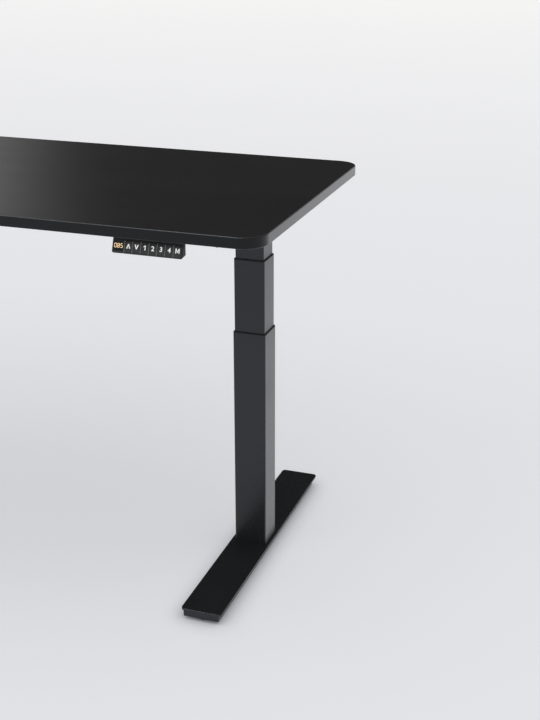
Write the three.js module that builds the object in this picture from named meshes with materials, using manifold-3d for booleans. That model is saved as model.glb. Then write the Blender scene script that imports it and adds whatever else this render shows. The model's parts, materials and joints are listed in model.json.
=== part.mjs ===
// A height adjustable standing desk: a desktop on two powered three-stage columns with long feet.
// Millimetres. +X runs to the right end, +Y to the back and +Z up.
// The origin is on the floor, under the middle.
import * as THREE from "three";
import { mergeVertices } from "three/addons/utils/BufferGeometryUtils.js";
import Module from "manifold-3d";

// ---------------------------------------------------------------- driving dimensions

// Gaps
const fitGap = 0.3; // between pieces that touch or nest
const slideGap = 1; // between one column stage and the next, on each side
const turnGap = 0.8; // round a shaft that turns

// Desktop
const topWidth = 1400;
const topDepth = 700;
const topThickness = 22;
const topHeight = 850; // upper face above the floor, as it stands
const topCornerRadius = 50;
const topArris = 1.5;

// Columns
const legInset = 138.2; // column axis to the desktop's end
const innerWidth = 64.4; // innermost stage, along X
const innerDepth = 60; // innermost stage, along Y
const tubeWall = 1.5;
const tubeCorner = 3;
const collarHeight = 2.8;
const midShown = 165.2; // middle stage in view, from collar to collar, as it stands
const innerShown = 59.4; // inner stage in view, from its collar to the gearbox, as it stands
const midOverlap = 353.4; // middle tube's length inside the outer stage, as it stands
const innerOverlap = 440.6; // inner tube's length inside the middle stage, as it stands

// Foot
const footWidth = 91.4;
const footLength = 688;
const footPlate = 5;
const footTop = 26;
const footCorner = 9;
const channelWidth = 80.5;
const channelBottom = 8;
const channelWall = 2.5;
const channelFront = 1; // how far the channel stands back from the plate's front end
const channelRear = 20; // and from its rear end
const channelCorner = 3;

// Levelling feet
const levellerRadius = 16;
const levellerPad = 6;
const levellerStem = 4;
const levellerRoom = 3; // from the stem's end to the plate above it
const levellerInset = 25; // centre to the plate's end
const levellerNut = 7;

// Lifting screws
const driveRadius = 6.5;
const driveBelow = 6; // drive screw's end below the inner tube's end
const driveEnd = 5; // its upper end below the gearbox cover
const hollowWall = 4.7;
const hollowHead = 5; // the hollow screw's head, past its thread
const hollowHeadHeight = 5;
const postGap = 4; // from the hollow screw to the post round it
const postWall = 2;
const nutHeight = 24;
const nutBelow = 153.4; // nut's top below the outer collar's top
const carrierGap = 2; // from the post to the carrier's barrel round it
const carrierWall = 2;
const carrierCap = 12;
const carrierFlange = 6;
const carrierBelow = 143.6; // carrier's top below the middle collar's top

// Gearbox and motor on each column
const caseWall = 3;
const caseRoom = 4; // round the worm wheel, above and below
const caseSideRoom = 5; // round the worm wheel, at the back
const wormRoom = 3; // round the worm, at the front
const caseOverhang = 3; // case wall past the inner tube, along X
const wheelRadius = 22;
const wheelThickness = 14;
const wormRadius = 7;
const wormLength = 32;
const wormShaft = 4;
const motorRadius = 28;
const motorLength = 95;
const motorNose = 12;
const motorCollar = 3; // nose length between case and can
const motorChamfer = 3;
const noseRoom = 1; // from the nose to the arm's flange above it

// Under-frame
const armPlate = 3;
const armLength = 620;
const armEnd = 13; // depth of the arm's ends
const armMiddle = 33; // depth of the arm over the column
const armFlat = 220; // length of its deep middle
const railSection = [30, 32]; // along Y and Z
const railWall = 2;
const railCentre = 90; // rail's middle from the column axis, along Y
const railDrop = 13; // rail's upper face below the desktop
const railEndPlate = [56, 40, 3];

// Control box
const boxSize = [260, 104, 38];
const boxWall = 2.5;
const boardThickness = 1.6;
const boardPost = 8;
const inletSize = [27, 19, 14];
const inletProud = 2;
const inletPin = 6; // length of its contact pins
const inletWall = 2.5;

// Handset
const handsetInset = 155.4; // its right end to the desktop's right end
const handsetEnd = 2.55; // face past the last key
const handsetDrop = 30.7; // lowest front edge below the desktop
const handsetFrontInset = 0.5; // that edge behind the desktop's front
const handsetTilt = THREE.MathUtils.degToRad(20.4);
const handsetRear = 20; // vertical back behind the desktop's front
const handsetRise = 1.8; // the underside's rise towards the back
const handsetWall = 2;
const earInset = 20.5; // screw ear's ends from the case's ends
const earDepth = 18;
const earThickness = 3;
const displayWidth = 25.5;
const keyPitch = 16.85;
const keyGap = 0.3;
const keyRib = 0.6; // case wall left between two keys
const keyHeight = 22.2;
const keyLow = 3; // keys' lower edge above the face's lower edge, along the face
const keyCap = 2.6;
const keyFlange = 0.8;
const keyFlangeLow = 1.5; // flange's lower edge above the cap's
const keyFlangeHigh = 0.6; // flange's upper edge above the cap's
const keyFlangeSide = 0.15; // flange past the pocket, on each side
const keyProud = 0.2;
const keyTravel = 0.7;
const keyPocketRoom = 0.3; // pocket's depth past the cap's inner end when the key is down
const windowHeight = 18;
const windowLow = 5;
const windowThickness = 1.8;
const handsetBoardInset = 5;
const handsetBoardHeight = 20;
const handsetBoardThickness = 1.2;
const handsetBoardLow = 6;
const handsetBoardDepth = 4.2; // board's front behind the face

// Leads
const motorLeadRadius = 3;
const handsetLeadRadius = 2.2;
const plugSize = [10, 12, 8];

// Segments round a circle
const roundSteps = 20;
const smallSteps = 12;

// ---------------------------------------------------------------- derived sizes

const underside = topHeight - topThickness;
const legX = topWidth / 2 - legInset;
const midWidth = innerWidth + 2 * (tubeWall + slideGap);
const midDepth = innerDepth + 2 * (tubeWall + slideGap);
const outerWidth = midWidth + 2 * (tubeWall + slideGap);
const outerDepth = midDepth + 2 * (tubeWall + slideGap);
const shaftZ = underside - armMiddle - noseRoom - motorNose;
const headBottom = shaftZ - wheelThickness / 2 - caseRoom - caseWall;
const midCollarTop = headBottom - innerShown;
const outerCollarTop = midCollarTop - midShown;
const outerTubeTop = outerCollarTop - collarHeight;
const midTubeTop = midCollarTop - collarHeight;
const midTubeBottom = outerCollarTop - midOverlap;
const innerTubeBottom = midCollarTop - innerOverlap;
const hollowBore = driveRadius + turnGap;
const hollowRadius = hollowBore + hollowWall;
const postRadius = hollowRadius + postGap + postWall;
const nutTop = outerCollarTop - nutBelow;
const carrierTop = midCollarTop - carrierBelow;
const caseTop = underside - 2 * armPlate;
const caseHalfWidth = innerWidth / 2 + caseOverhang;
const wormY = -(wheelRadius + wormRadius + fitGap);
const caseFront = wormY - wormRadius - wormRoom - caseWall;
const caseBack = Math.max(innerDepth / 2, wheelRadius + caseSideRoom + caseWall);
const armHalfWidth = caseHalfWidth + fitGap + armPlate;
const motorStart = armHalfWidth + fitGap;
const frontEdge = -topDepth / 2;
const keyNames = ["key_up", "key_down", "key_1", "key_2", "key_3", "key_4", "key_m"];
const faceWidth = displayWidth + keyNames.length * keyPitch + handsetEnd;
const handsetRight = topWidth / 2 - handsetInset;
const handsetLeft = handsetRight - faceWidth;
const handsetMiddle = handsetRight - faceWidth / 2;

// ---------------------------------------------------------------- materials

function finish(color, roughness, metalness) {
  return new THREE.MeshStandardMaterial({ color, roughness, metalness });
}

const laminate = finish(0x1d1e20, 0.45, 0);
const blackSteel = finish(0x2a2b2e, 0.5, 0.6);
const blackPlastic = finish(0x17181a, 0.55, 0);
const glossPlastic = finish(0x0c0d0f, 0.15, 0);
const plainSteel = finish(0x9a9da1, 0.35, 1);
const bronze = finish(0xa8834a, 0.4, 1);
const circuitBoard = finish(0x17402a, 0.5, 0);
const leadSheath = finish(0x121315, 0.6, 0);

// ---------------------------------------------------------------- joining and cutting

const wasm = await Module();
wasm.setup();

function solidOf(geometry) {
  const bare = geometry.index ? geometry.toNonIndexed() : geometry.clone();
  bare.deleteAttribute("normal");
  bare.deleteAttribute("uv");
  const merged = mergeVertices(bare, 1e-4);
  const vertProperties = merged.attributes.position.array;
  const triVerts = new Uint32Array(merged.index.array);
  return new wasm.Manifold(new wasm.Mesh({ numProp: 3, vertProperties, triVerts }));
}

function geometryOf(solid) {
  const mesh = solid.getMesh();
  const geometry = new THREE.BufferGeometry();
  geometry.setAttribute("position", new THREE.BufferAttribute(mesh.vertProperties, 3));
  geometry.setIndex(new THREE.BufferAttribute(mesh.triVerts, 1));
  geometry.computeVertexNormals();
  return geometry;
}

function join(...geometries) {
  return geometryOf(geometries.map(solidOf).reduce((whole, piece) => whole.add(piece)));
}

function cut(geometry, ...tools) {
  return geometryOf(tools.map(solidOf).reduce((whole, tool) => whole.subtract(tool), solidOf(geometry)));
}

// ---------------------------------------------------------------- basic shapes

// A box between two values on each axis.
function block([x0, x1], [y0, y1], [z0, z1]) {
  const geometry = new THREE.BoxGeometry(x1 - x0, y1 - y0, z1 - z0);
  return geometry.translate((x0 + x1) / 2, (y0 + y1) / 2, (z0 + z1) / 2);
}

function around(centre, size) {
  return [centre - size / 2, centre + size / 2];
}

// A rectangle with round corners, centred on the origin.
function roundedOutline(width, depth, radius, Path = THREE.Shape) {
  const x = width / 2;
  const y = depth / 2;
  const outline = new Path();
  outline.moveTo(x - radius, -y);
  outline.absarc(x - radius, radius - y, radius, -Math.PI / 2, 0);
  outline.absarc(x - radius, y - radius, radius, 0, Math.PI / 2);
  outline.absarc(radius - x, y - radius, radius, Math.PI / 2, Math.PI);
  outline.absarc(radius - x, radius - y, radius, Math.PI, 1.5 * Math.PI);
  outline.closePath();
  return outline;
}

function upright(outline, [z0, z1], curveSegments) {
  const options = { depth: z1 - z0, bevelEnabled: false, curveSegments };
  return new THREE.ExtrudeGeometry(outline, options).translate(0, 0, z0);
}

// A rectangular tube standing along Z. Its inner corners follow its outer ones.
function rectangularTube(width, depth, wall, radius, heights) {
  const outline = roundedOutline(width, depth, radius);
  const innerRadius = Math.max(radius - wall, 0.5);
  outline.holes.push(roundedOutline(width - 2 * wall, depth - 2 * wall, innerRadius, THREE.Path));
  return upright(outline, heights, 2);
}

// A plate whose outline is given in Y and Z, between two values of X.
function crosswisePlate(points, [x0, x1]) {
  const outline = new THREE.Shape(points.map(([y, z]) => new THREE.Vector2(y, z)));
  const geometry = new THREE.ExtrudeGeometry(outline, { depth: x1 - x0, bevelEnabled: false });
  const turn = new THREE.Matrix4().makeBasis(
    new THREE.Vector3(0, 1, 0),
    new THREE.Vector3(0, 0, 1),
    new THREE.Vector3(1, 0, 0),
  );
  return geometry.applyMatrix4(turn).translate(x0, 0, 0);
}

// A turned piece about the Z axis. Its profile is radius and height, with the outside going up.
function turned(profile, steps = roundSteps) {
  const points = profile.map(([radius, height]) => new THREE.Vector2(radius, height));
  return new THREE.LatheGeometry(points, steps).rotateX(Math.PI / 2);
}

function rod(radius, [z0, z1], steps) {
  return turned([[0, z0], [radius, z0], [radius, z1], [0, z1]], steps);
}

function sleeve(inner, outer, [z0, z1], steps) {
  return turned([[inner, z0], [outer, z0], [outer, z1], [inner, z1], [inner, z0]], steps);
}

// A round lead along a smooth route, with a flat plug on its end.
function lead(route, radius, plug) {
  const path = new THREE.CatmullRomCurve3(route.map((point) => new THREE.Vector3(...point)));
  const section = new THREE.Shape().absarc(0, 0, radius, 0, 2 * Math.PI);
  const sheath = new THREE.ExtrudeGeometry(section, { steps: 40, curveSegments: 4, extrudePath: path });
  return join(sheath, plug);
}

// ---------------------------------------------------------------- assembly helpers

const desk = new THREE.Group();

function add(name, geometry, material, group = desk) {
  const mesh = new THREE.Mesh(geometry, material);
  mesh.name = name;
  group.add(mesh);
}

// ---------------------------------------------------------------- foot and outer stage

// One levelling foot: a pad on the floor, a spanner hexagon and a threaded stem.
function leveller() {
  const pad = rod(levellerRadius, [0, levellerPad]);
  const hexagon = rod(levellerNut, [levellerPad, channelBottom - fitGap], 6);
  const stemTop = footTop - footPlate - levellerRoom;
  return join(pad, hexagon, rod(levellerStem, [levellerPad - 1, stemTop], smallSteps));
}

function footChannel(stemYs) {
  const [front, rear] = [channelFront - footLength / 2, footLength / 2 - channelRear];
  const length = rear - front;
  const outline = roundedOutline(channelWidth, length, channelCorner);
  const outside = upright(outline, [channelBottom, footTop - footPlate], 2);
  const floor = channelBottom + channelWall;
  const [innerX, innerY] = [channelWidth, length].map((size) => around(0, size - 2 * channelWall));
  const inside = block(innerX, innerY, [floor, footTop]);
  const tray = cut(outside, inside).translate(0, (front + rear) / 2, 0);
  const holes = stemYs.map((y) => rod(levellerStem + fitGap, [0, footTop], smallSteps).translate(0, y, 0));
  return cut(tray, ...holes);
}

function addFoot(side, leg) {
  const reach = footLength / 2 - levellerInset;
  const plate = roundedOutline(footWidth, footLength, footCorner);
  add(`${side}_foot_plate`, upright(plate, [footTop - footPlate, footTop], 3), blackSteel, leg);
  add(`${side}_foot_channel`, footChannel([-reach, reach - channelRear]), blackSteel, leg);
  add(`${side}_leveller_front`, leveller().translate(0, -reach, 0), blackPlastic, leg);
  add(`${side}_leveller_rear`, leveller().translate(0, reach - channelRear, 0), blackPlastic, leg);
}

// The black ring that closes the step from a wide stage to the narrower one above it.
function collar(width, depth, innerTubeWidth, innerTubeDepth, top) {
  const outline = roundedOutline(width, depth, tubeCorner);
  const hole = [innerTubeWidth + 2 * fitGap, innerTubeDepth + 2 * fitGap];
  outline.holes.push(roundedOutline(...hole, tubeCorner + fitGap, THREE.Path));
  return upright(outline, [top - collarHeight, top], 2);
}

function addOuterStage(side, leg) {
  const tube = rectangularTube(outerWidth, outerDepth, tubeWall, tubeCorner, [footTop, outerTubeTop]);
  const nutBottom = nutTop - nutHeight;
  add(`${side}_outer_tube`, tube, blackSteel, leg);
  const outerCollar = collar(outerWidth, outerDepth, midWidth, midDepth, outerCollarTop);
  add(`${side}_outer_collar`, outerCollar, blackPlastic, leg);
  add(`${side}_base_post`, sleeve(postRadius - postWall, postRadius, [footTop, nutBottom]), plainSteel, leg);
  add(`${side}_base_nut`, sleeve(hollowRadius + turnGap, postRadius, [nutBottom, nutTop]), bronze, leg);
}

// ---------------------------------------------------------------- middle stage

// A flange on the middle tube's foot and a tall tube whose cap carries the hollow screw.
function carrier() {
  const bore = postRadius + carrierGap;
  const outside = bore + carrierWall;
  const plate = [midWidth - 2 * (tubeWall + fitGap), midDepth - 2 * (tubeWall + fitGap)];
  const flangeHeights = [midTubeBottom, midTubeBottom + carrierFlange];
  const flange = upright(roundedOutline(...plate, tubeCorner), flangeHeights, 2);
  const barrel = rod(outside, [midTubeBottom, carrierTop]);
  const room = rod(bore, [midTubeBottom - 1, carrierTop - carrierCap]);
  const hole = rod(hollowRadius + turnGap, [midTubeBottom - 1, carrierTop + 1]);
  return cut(join(flange, barrel), room, hole);
}

function hollowScrew() {
  const neck = carrierTop + fitGap;
  return turned([
    [hollowBore, midTubeBottom],
    [hollowRadius, midTubeBottom],
    [hollowRadius, neck],
    [hollowRadius + hollowHead, neck],
    [hollowRadius + hollowHead, neck + hollowHeadHeight],
    [hollowBore, neck + hollowHeadHeight],
    [hollowBore, midTubeBottom],
  ]);
}

function addMiddleStage(side, leg) {
  const tube = rectangularTube(midWidth, midDepth, tubeWall, tubeCorner, [midTubeBottom, midTubeTop]);
  add(`${side}_mid_tube`, tube, blackSteel, leg);
  const midCollar = collar(midWidth, midDepth, innerWidth, innerDepth, midCollarTop);
  add(`${side}_mid_collar`, midCollar, blackPlastic, leg);
  add(`${side}_mid_carrier`, carrier(), plainSteel, leg);
  add(`${side}_hollow_screw`, hollowScrew(), plainSteel, leg);
}

// ---------------------------------------------------------------- inner stage, gearbox and motor

// inward is 1 where the desk's middle lies towards +X of the column, and -1 where it lies towards -X.
function gearboxCase(inward) {
  const outside = block([-caseHalfWidth, caseHalfWidth], [caseFront, caseBack], [headBottom, caseTop]);
  const roomX = [caseWall - caseHalfWidth, caseHalfWidth - caseWall];
  const room = block(roomX, [caseFront + caseWall, caseBack - caseWall], [headBottom + caseWall, caseTop + 1]);
  const screwHole = rod(driveRadius + turnGap, [headBottom - 1, headBottom + caseWall + 1], smallSteps);
  const shaftHole = rod(wormShaft + turnGap, [caseHalfWidth - caseWall - 1, caseHalfWidth + 1], smallSteps);
  shaftHole.rotateY((inward * Math.PI) / 2).translate(0, wormY, shaftZ);
  return cut(outside, room, screwHole, shaftHole);
}

function motorCan() {
  const bore = wormShaft + turnGap;
  const noseStart = caseHalfWidth + fitGap;
  const noseEnd = noseStart + motorCollar;
  const end = motorStart + motorLength;
  return turned([
    [0, motorStart + motorLength / 2],
    [bore, motorStart + motorLength / 2],
    [bore, noseStart],
    [motorNose, noseStart],
    [motorNose, noseEnd],
    [motorRadius - motorChamfer, motorStart],
    [motorRadius, motorStart + motorChamfer],
    [motorRadius, end - motorChamfer],
    [motorRadius - motorChamfer, end],
    [0, end],
  ]);
}

function worm() {
  const half = wormLength / 2;
  const farEnd = caseHalfWidth - caseWall - fitGap;
  return turned([
    [0, -farEnd],
    [wormShaft, -farEnd],
    [wormShaft, -half],
    [wormRadius, -half],
    [wormRadius, half],
    [wormShaft, half],
    [wormShaft, motorStart + motorLength / 2 - 2],
    [0, motorStart + motorLength / 2 - 2],
  ]);
}

// A folded steel bridge over the column: a long web under the desktop and two tapering flanges.
function supportArm() {
  const [web, foot] = [underside - armPlate, underside - armMiddle];
  const [half, flat] = [armLength / 2, armFlat / 2];
  const top = block([-armHalfWidth, armHalfWidth], [-half, half], [web, underside]);
  const flange = [
    [-half, underside],
    [-half, underside - armEnd],
    [-flat, foot],
    [flat, foot],
    [half, underside - armEnd],
    [half, underside],
  ];
  const left = crosswisePlate(flange, [-armHalfWidth, armPlate - armHalfWidth]);
  const right = crosswisePlate(flange, [armHalfWidth - armPlate, armHalfWidth]);
  return join(top, left, right);
}

function addInnerStage(side, leg, inward) {
  const tube = rectangularTube(innerWidth, innerDepth, tubeWall, tubeCorner, [innerTubeBottom, headBottom]);
  const wheel = around(shaftZ, wheelThickness);
  const lid = block([-caseHalfWidth, caseHalfWidth], [caseFront, caseBack], [caseTop, caseTop + armPlate]);
  const alongX = (geometry) => geometry.rotateY((inward * Math.PI) / 2).translate(0, wormY, shaftZ);
  add(`${side}_inner_tube`, tube, blackSteel, leg);
  const driveHeights = [innerTubeBottom - driveBelow, caseTop - driveEnd];
  add(`${side}_drive_screw`, rod(driveRadius, driveHeights), plainSteel, leg);
  add(`${side}_worm_wheel`, sleeve(driveRadius + fitGap, wheelRadius, wheel, 24), bronze, leg);
  add(`${side}_gearbox_case`, gearboxCase(inward), blackPlastic, leg);
  add(`${side}_gearbox_cover`, lid, blackPlastic, leg);
  add(`${side}_motor_can`, alongX(motorCan()), blackSteel, leg);
  add(`${side}_motor_worm`, alongX(worm()), plainSteel, leg);
  add(`${side}_support_arm`, supportArm(), blackSteel, leg);
}

// ---------------------------------------------------------------- desktop and rails

function desktop() {
  const options = {
    depth: topThickness - 2 * topArris,
    bevelThickness: topArris,
    bevelSize: topArris,
    bevelOffset: -topArris,
    bevelSegments: 3,
    curveSegments: 8,
  };
  const slab = new THREE.ExtrudeGeometry(roundedOutline(topWidth, topDepth, topCornerRadius), options);
  return slab.translate(0, 0, underside + topArris);
}

// A square tube along X with an end plate on each end, bolted to the arms' inner flanges.
function rail(y) {
  const [sectionY, sectionZ] = railSection;
  const [plateY, plateZ, plateX] = railEndPlate;
  const end = legX - armHalfWidth;
  const top = underside - railDrop;
  const heights = [top - sectionZ, top];
  const tube = block([-end, end], around(y, sectionY), heights);
  const plates = [[-end, plateX - end], [end - plateX, end]].map((xs) =>
    block(xs, around(y, plateY), [heights[0], heights[0] + plateZ]),
  );
  const inside = around(y, sectionY - 2 * railWall);
  const room = block([-end - 1, end + 1], inside, [heights[0] + railWall, top - railWall]);
  return cut(join(tube, ...plates), room);
}

// ---------------------------------------------------------------- control box

const boxBottom = underside - boxSize[2];
const plugZ = underside - boxSize[2] / 2;
const inletX = boxSize[0] / 4;

function boxShell() {
  const [width, depth] = boxSize;
  const outside = block(around(0, width), around(0, depth), [boxBottom, underside]);
  const room = block(
    around(0, width - 2 * boxWall),
    around(0, depth - 2 * boxWall),
    [boxBottom - 1, underside - boxWall],
  );
  const [inletWidth, inletHeight] = inletSize;
  const window = block(
    around(inletX, inletWidth + 2 * fitGap),
    [depth / 2 - boxWall - 1, depth / 2 + 1],
    around(plugZ, inletHeight + 2 * fitGap),
  );
  return cut(outside, room, window);
}

// The lid closes the box from below and stands the board on four posts.
function boxLid() {
  const [width, depth] = boxSize;
  const plate = block(around(0, width), around(0, depth), [boxBottom - boxWall, boxBottom]);
  const corners = [[-1, -1], [1, -1], [-1, 1], [1, 1]];
  const posts = corners.map(([sx, sy]) =>
    rod(4, [boxBottom - 1, boxBottom + boardPost], 8).translate((sx * width) / 2.5, (sy * depth) / 4, 0),
  );
  return join(plate, ...posts);
}

// The board with its power supply block, two motor drivers and a smoothing capacitor.
function controlBoard() {
  const low = boxBottom + boardPost;
  const high = low + boardThickness;
  const [width, depth] = boxSize;
  const plate = block(around(0, width - 20), [12 - depth / 2, depth / 2 - 20], [low, high]);
  const supply = block([20, 60], [-28, 4], [high - 0.5, high + 18]);
  const drivers = [-90, -50].map((x) => block(around(x, 24), [-26, 0], [high - 0.5, high + 12]));
  const capacitor = rod(8, [high - 0.5, high + 20], smallSteps).translate(-10, -10, 0);
  return join(plate, supply, capacitor, ...drivers);
}

// A mains inlet with a recessed face, seated in the box's rear wall.
function powerInlet() {
  const [width, height, depth] = inletSize;
  const face = boxSize[1] / 2 + inletProud;
  const body = block(around(inletX, width), [face - depth, face], around(plugZ, height));
  const floor = face - depth + inletWall;
  const recessWidth = around(inletX, width - 2 * inletWall);
  const recess = block(recessWidth, [floor, face + 1], around(plugZ, height - 2 * inletWall));
  const pinDepth = [floor - 1, floor + inletPin];
  const pins = [-7, 0, 7].map((x) => block(around(inletX + x, 1.6), pinDepth, around(plugZ, 5)));
  return join(cut(body, recess), ...pins);
}

// ---------------------------------------------------------------- handset

// The face's own frame: X along the desk, Y up the face from its lower edge, and Z out of the face.
const handsetFace = new THREE.Group();
handsetFace.position.set(handsetLeft, frontEdge + handsetFrontInset, underside - handsetDrop);
handsetFace.rotation.x = Math.PI / 2 - handsetTilt;
handsetFace.updateMatrix();

function onFace(geometry) {
  return geometry.applyMatrix4(handsetFace.matrix);
}

const keyLeft = displayWidth + keyRib / 2;

function keySpan(index, margin) {
  const left = keyLeft + index * keyPitch;
  return [left - margin, left + keyPitch - keyRib + margin];
}

const windowSpan = [2, displayWidth - 1.2];

function handsetProfile(inset) {
  const low = underside - handsetDrop;
  const front = frontEdge + handsetFrontInset;
  const back = frontEdge + handsetRear - inset;
  const slope = Math.tan(handsetTilt);
  const skew = inset / Math.cos(handsetTilt);
  const top = underside - inset;
  const frontAt = (z) => front + slope * (z - low) + skew;
  return [
    [frontAt(low + inset), low + inset],
    [back, low + handsetRise + inset],
    [back, top],
    [frontAt(top), top],
  ];
}

// A wedge-shaped shell with a window for the display, a pocket for each key, and a screw ear behind it.
function handsetCase() {
  const outside = crosswisePlate(handsetProfile(0), [handsetLeft, handsetRight]);
  const back = frontEdge + handsetRear;
  const earWidth = around(handsetMiddle, faceWidth - 2 * earInset);
  const ear = block(earWidth, [back - 1, back + earDepth], [underside - earThickness, underside]);
  const room = crosswisePlate(
    handsetProfile(handsetWall),
    [handsetLeft + handsetWall, handsetRight - handsetWall],
  );
  const through = [-keyCap - keyTravel - keyPocketRoom, 1];
  const pockets = keyNames.map((_, i) =>
    onFace(block(keySpan(i, 0), [keyLow - keyGap, keyLow + keyHeight + keyGap], through)),
  );
  const windowHigh = windowLow + windowHeight + fitGap;
  const opening = onFace(
    block([windowSpan[0] - fitGap, windowSpan[1] + fitGap], [windowLow - fitGap, windowHigh], through),
  );
  return cut(join(outside, ear), room, opening, ...pockets);
}

// A key cap and the flange behind it that keeps it in its pocket.
function keyGeometry(index) {
  const cap = block(keySpan(index, -keyGap), [keyLow, keyLow + keyHeight], [-keyCap, keyProud]);
  const back = -handsetWall - fitGap - keyFlange;
  const heights = [keyLow + keyFlangeLow, keyLow + keyHeight + keyFlangeHigh];
  const flange = block(keySpan(index, keyFlangeSide), heights, [back, back + keyFlange]);
  return join(cap, flange);
}

function addHandset() {
  const boardBack = -handsetBoardDepth - handsetBoardThickness;
  desk.add(handsetFace);
  add("handset_case", handsetCase(), blackPlastic);
  add(
    "handset_window",
    block(windowSpan, [windowLow, windowLow + windowHeight], [-windowThickness, 0]),
    glossPlastic,
    handsetFace,
  );
  add(
    "handset_board",
    block(
      [handsetBoardInset, faceWidth - handsetBoardInset],
      [handsetBoardLow, handsetBoardLow + handsetBoardHeight],
      [boardBack, -handsetBoardDepth],
    ),
    circuitBoard,
    handsetFace,
  );
  keyNames.forEach((name, index) => add(name, keyGeometry(index), blackPlastic, handsetFace));
}

// ---------------------------------------------------------------- leads

const boxSide = boxSize[0] / 2 + fitGap;
const [plugLength, plugWidth, plugHeight] = plugSize;

// Each lead's route is given as X, Y and the drop below the desktop.

// From the motor's outer end along the desktop's underside to the box's side; end is 1 for the right motor.
function motorLead(end) {
  const motorEnd = legX - motorStart - motorLength - fitGap;
  const plug = block([boxSide, boxSide + plugLength], around(-20, plugWidth), around(plugZ, plugHeight));
  const run = motorEnd - boxSide;
  const route = [
    [motorEnd, wormY, underside - shaftZ],
    [motorEnd - 12, wormY, underside - shaftZ - 0.5],
    [motorEnd - 28, wormY, 34],
    [motorEnd - 46, wormY, 16],
    [motorEnd - 70, wormY, 7],
    [boxSide + 0.66 * run, -28, 5],
    [boxSide + 0.4 * run, -24, 5],
    [boxSide + 0.2 * run, -21, 6.5],
    [boxSide + 30, -20, 13],
    [boxSide + 15, -20, underside - plugZ],
    [boxSide + plugLength - 2, -20, underside - plugZ],
  ];
  const mirrored = route.map(([x, y, drop]) => [end * x, y, underside - drop]);
  return lead(mirrored, motorLeadRadius, end > 0 ? plug : plug.translate(-2 * boxSide - plugLength, 0, 0));
}

// From the handset's back, over the front rail, to the box's front.
function handsetLead() {
  const boxFront = -boxSize[1] / 2 - fitGap;
  const start = frontEdge + handsetRear + fitGap;
  const plug = block(around(90, plugWidth), [boxFront - plugLength, boxFront], around(plugZ, plugHeight));
  const route = [
    [handsetMiddle - 3, start, 14],
    [handsetMiddle - 3, start + 8, 14],
    [handsetMiddle - 4, start + 20, 11.5],
    [handsetMiddle - 9, start + 45, 7],
    [handsetMiddle - 23, start + 75, 4],
    [400, -215, 3.5],
    [320, -170, 3.5],
    [230, -132, 3.5],
    [150, -104, 4],
    [115, -88, 4.5],
    [100, -77, 6.5],
    [93, -70, 12.5],
    [90.5, -66, 17.5],
    [90, boxFront - plugLength + 2, underside - plugZ],
  ];
  const points = route.map(([x, y, drop]) => [x, y, underside - drop]);
  return lead(points, handsetLeadRadius, plug);
}

// ---------------------------------------------------------------- the whole desk

for (const [side, inward] of [["left", 1], ["right", -1]]) {
  const leg = new THREE.Group();
  leg.position.x = -inward * legX;
  desk.add(leg);
  addFoot(side, leg);
  addOuterStage(side, leg);
  addMiddleStage(side, leg);
  addInnerStage(side, leg, inward);
}

add("desktop", desktop(), laminate);
add("front_rail", rail(-railCentre), blackSteel);
add("rear_rail", rail(railCentre), blackSteel);
add("control_box_shell", boxShell(), blackPlastic);
add("control_box_lid", boxLid(), blackPlastic);
add("control_board", controlBoard(), circuitBoard);
add("power_inlet", powerInlet(), glossPlastic);
addHandset();
add("left_motor_lead", motorLead(-1), leadSheath);
add("right_motor_lead", motorLead(1), leadSheath);
add("handset_lead", handsetLead(), leadSheath);

export default desk;
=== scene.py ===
import json
import math

import bmesh
import bpy
from mathutils import Matrix, Vector

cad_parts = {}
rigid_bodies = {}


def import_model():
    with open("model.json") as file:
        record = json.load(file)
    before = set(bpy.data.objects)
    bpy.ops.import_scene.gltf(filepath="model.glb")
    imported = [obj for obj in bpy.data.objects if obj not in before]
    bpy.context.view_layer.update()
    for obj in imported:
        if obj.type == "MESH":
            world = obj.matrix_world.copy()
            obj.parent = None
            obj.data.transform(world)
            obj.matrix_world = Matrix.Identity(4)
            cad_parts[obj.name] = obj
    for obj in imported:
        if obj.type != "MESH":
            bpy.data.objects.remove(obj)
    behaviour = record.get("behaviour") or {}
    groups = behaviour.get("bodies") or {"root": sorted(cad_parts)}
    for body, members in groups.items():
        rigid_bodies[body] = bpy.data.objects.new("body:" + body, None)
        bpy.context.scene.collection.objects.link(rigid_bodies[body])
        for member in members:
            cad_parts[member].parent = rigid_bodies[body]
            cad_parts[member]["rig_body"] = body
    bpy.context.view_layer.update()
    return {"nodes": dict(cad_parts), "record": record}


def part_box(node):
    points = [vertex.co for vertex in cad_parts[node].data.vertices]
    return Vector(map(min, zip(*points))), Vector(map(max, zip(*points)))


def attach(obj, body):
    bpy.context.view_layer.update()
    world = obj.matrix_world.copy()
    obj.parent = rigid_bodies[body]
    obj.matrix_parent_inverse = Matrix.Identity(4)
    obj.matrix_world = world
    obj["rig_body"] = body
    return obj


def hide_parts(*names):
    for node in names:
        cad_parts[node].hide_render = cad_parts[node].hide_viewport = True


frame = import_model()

# ---------------------------------------------------------------- sizes, in metres

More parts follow.
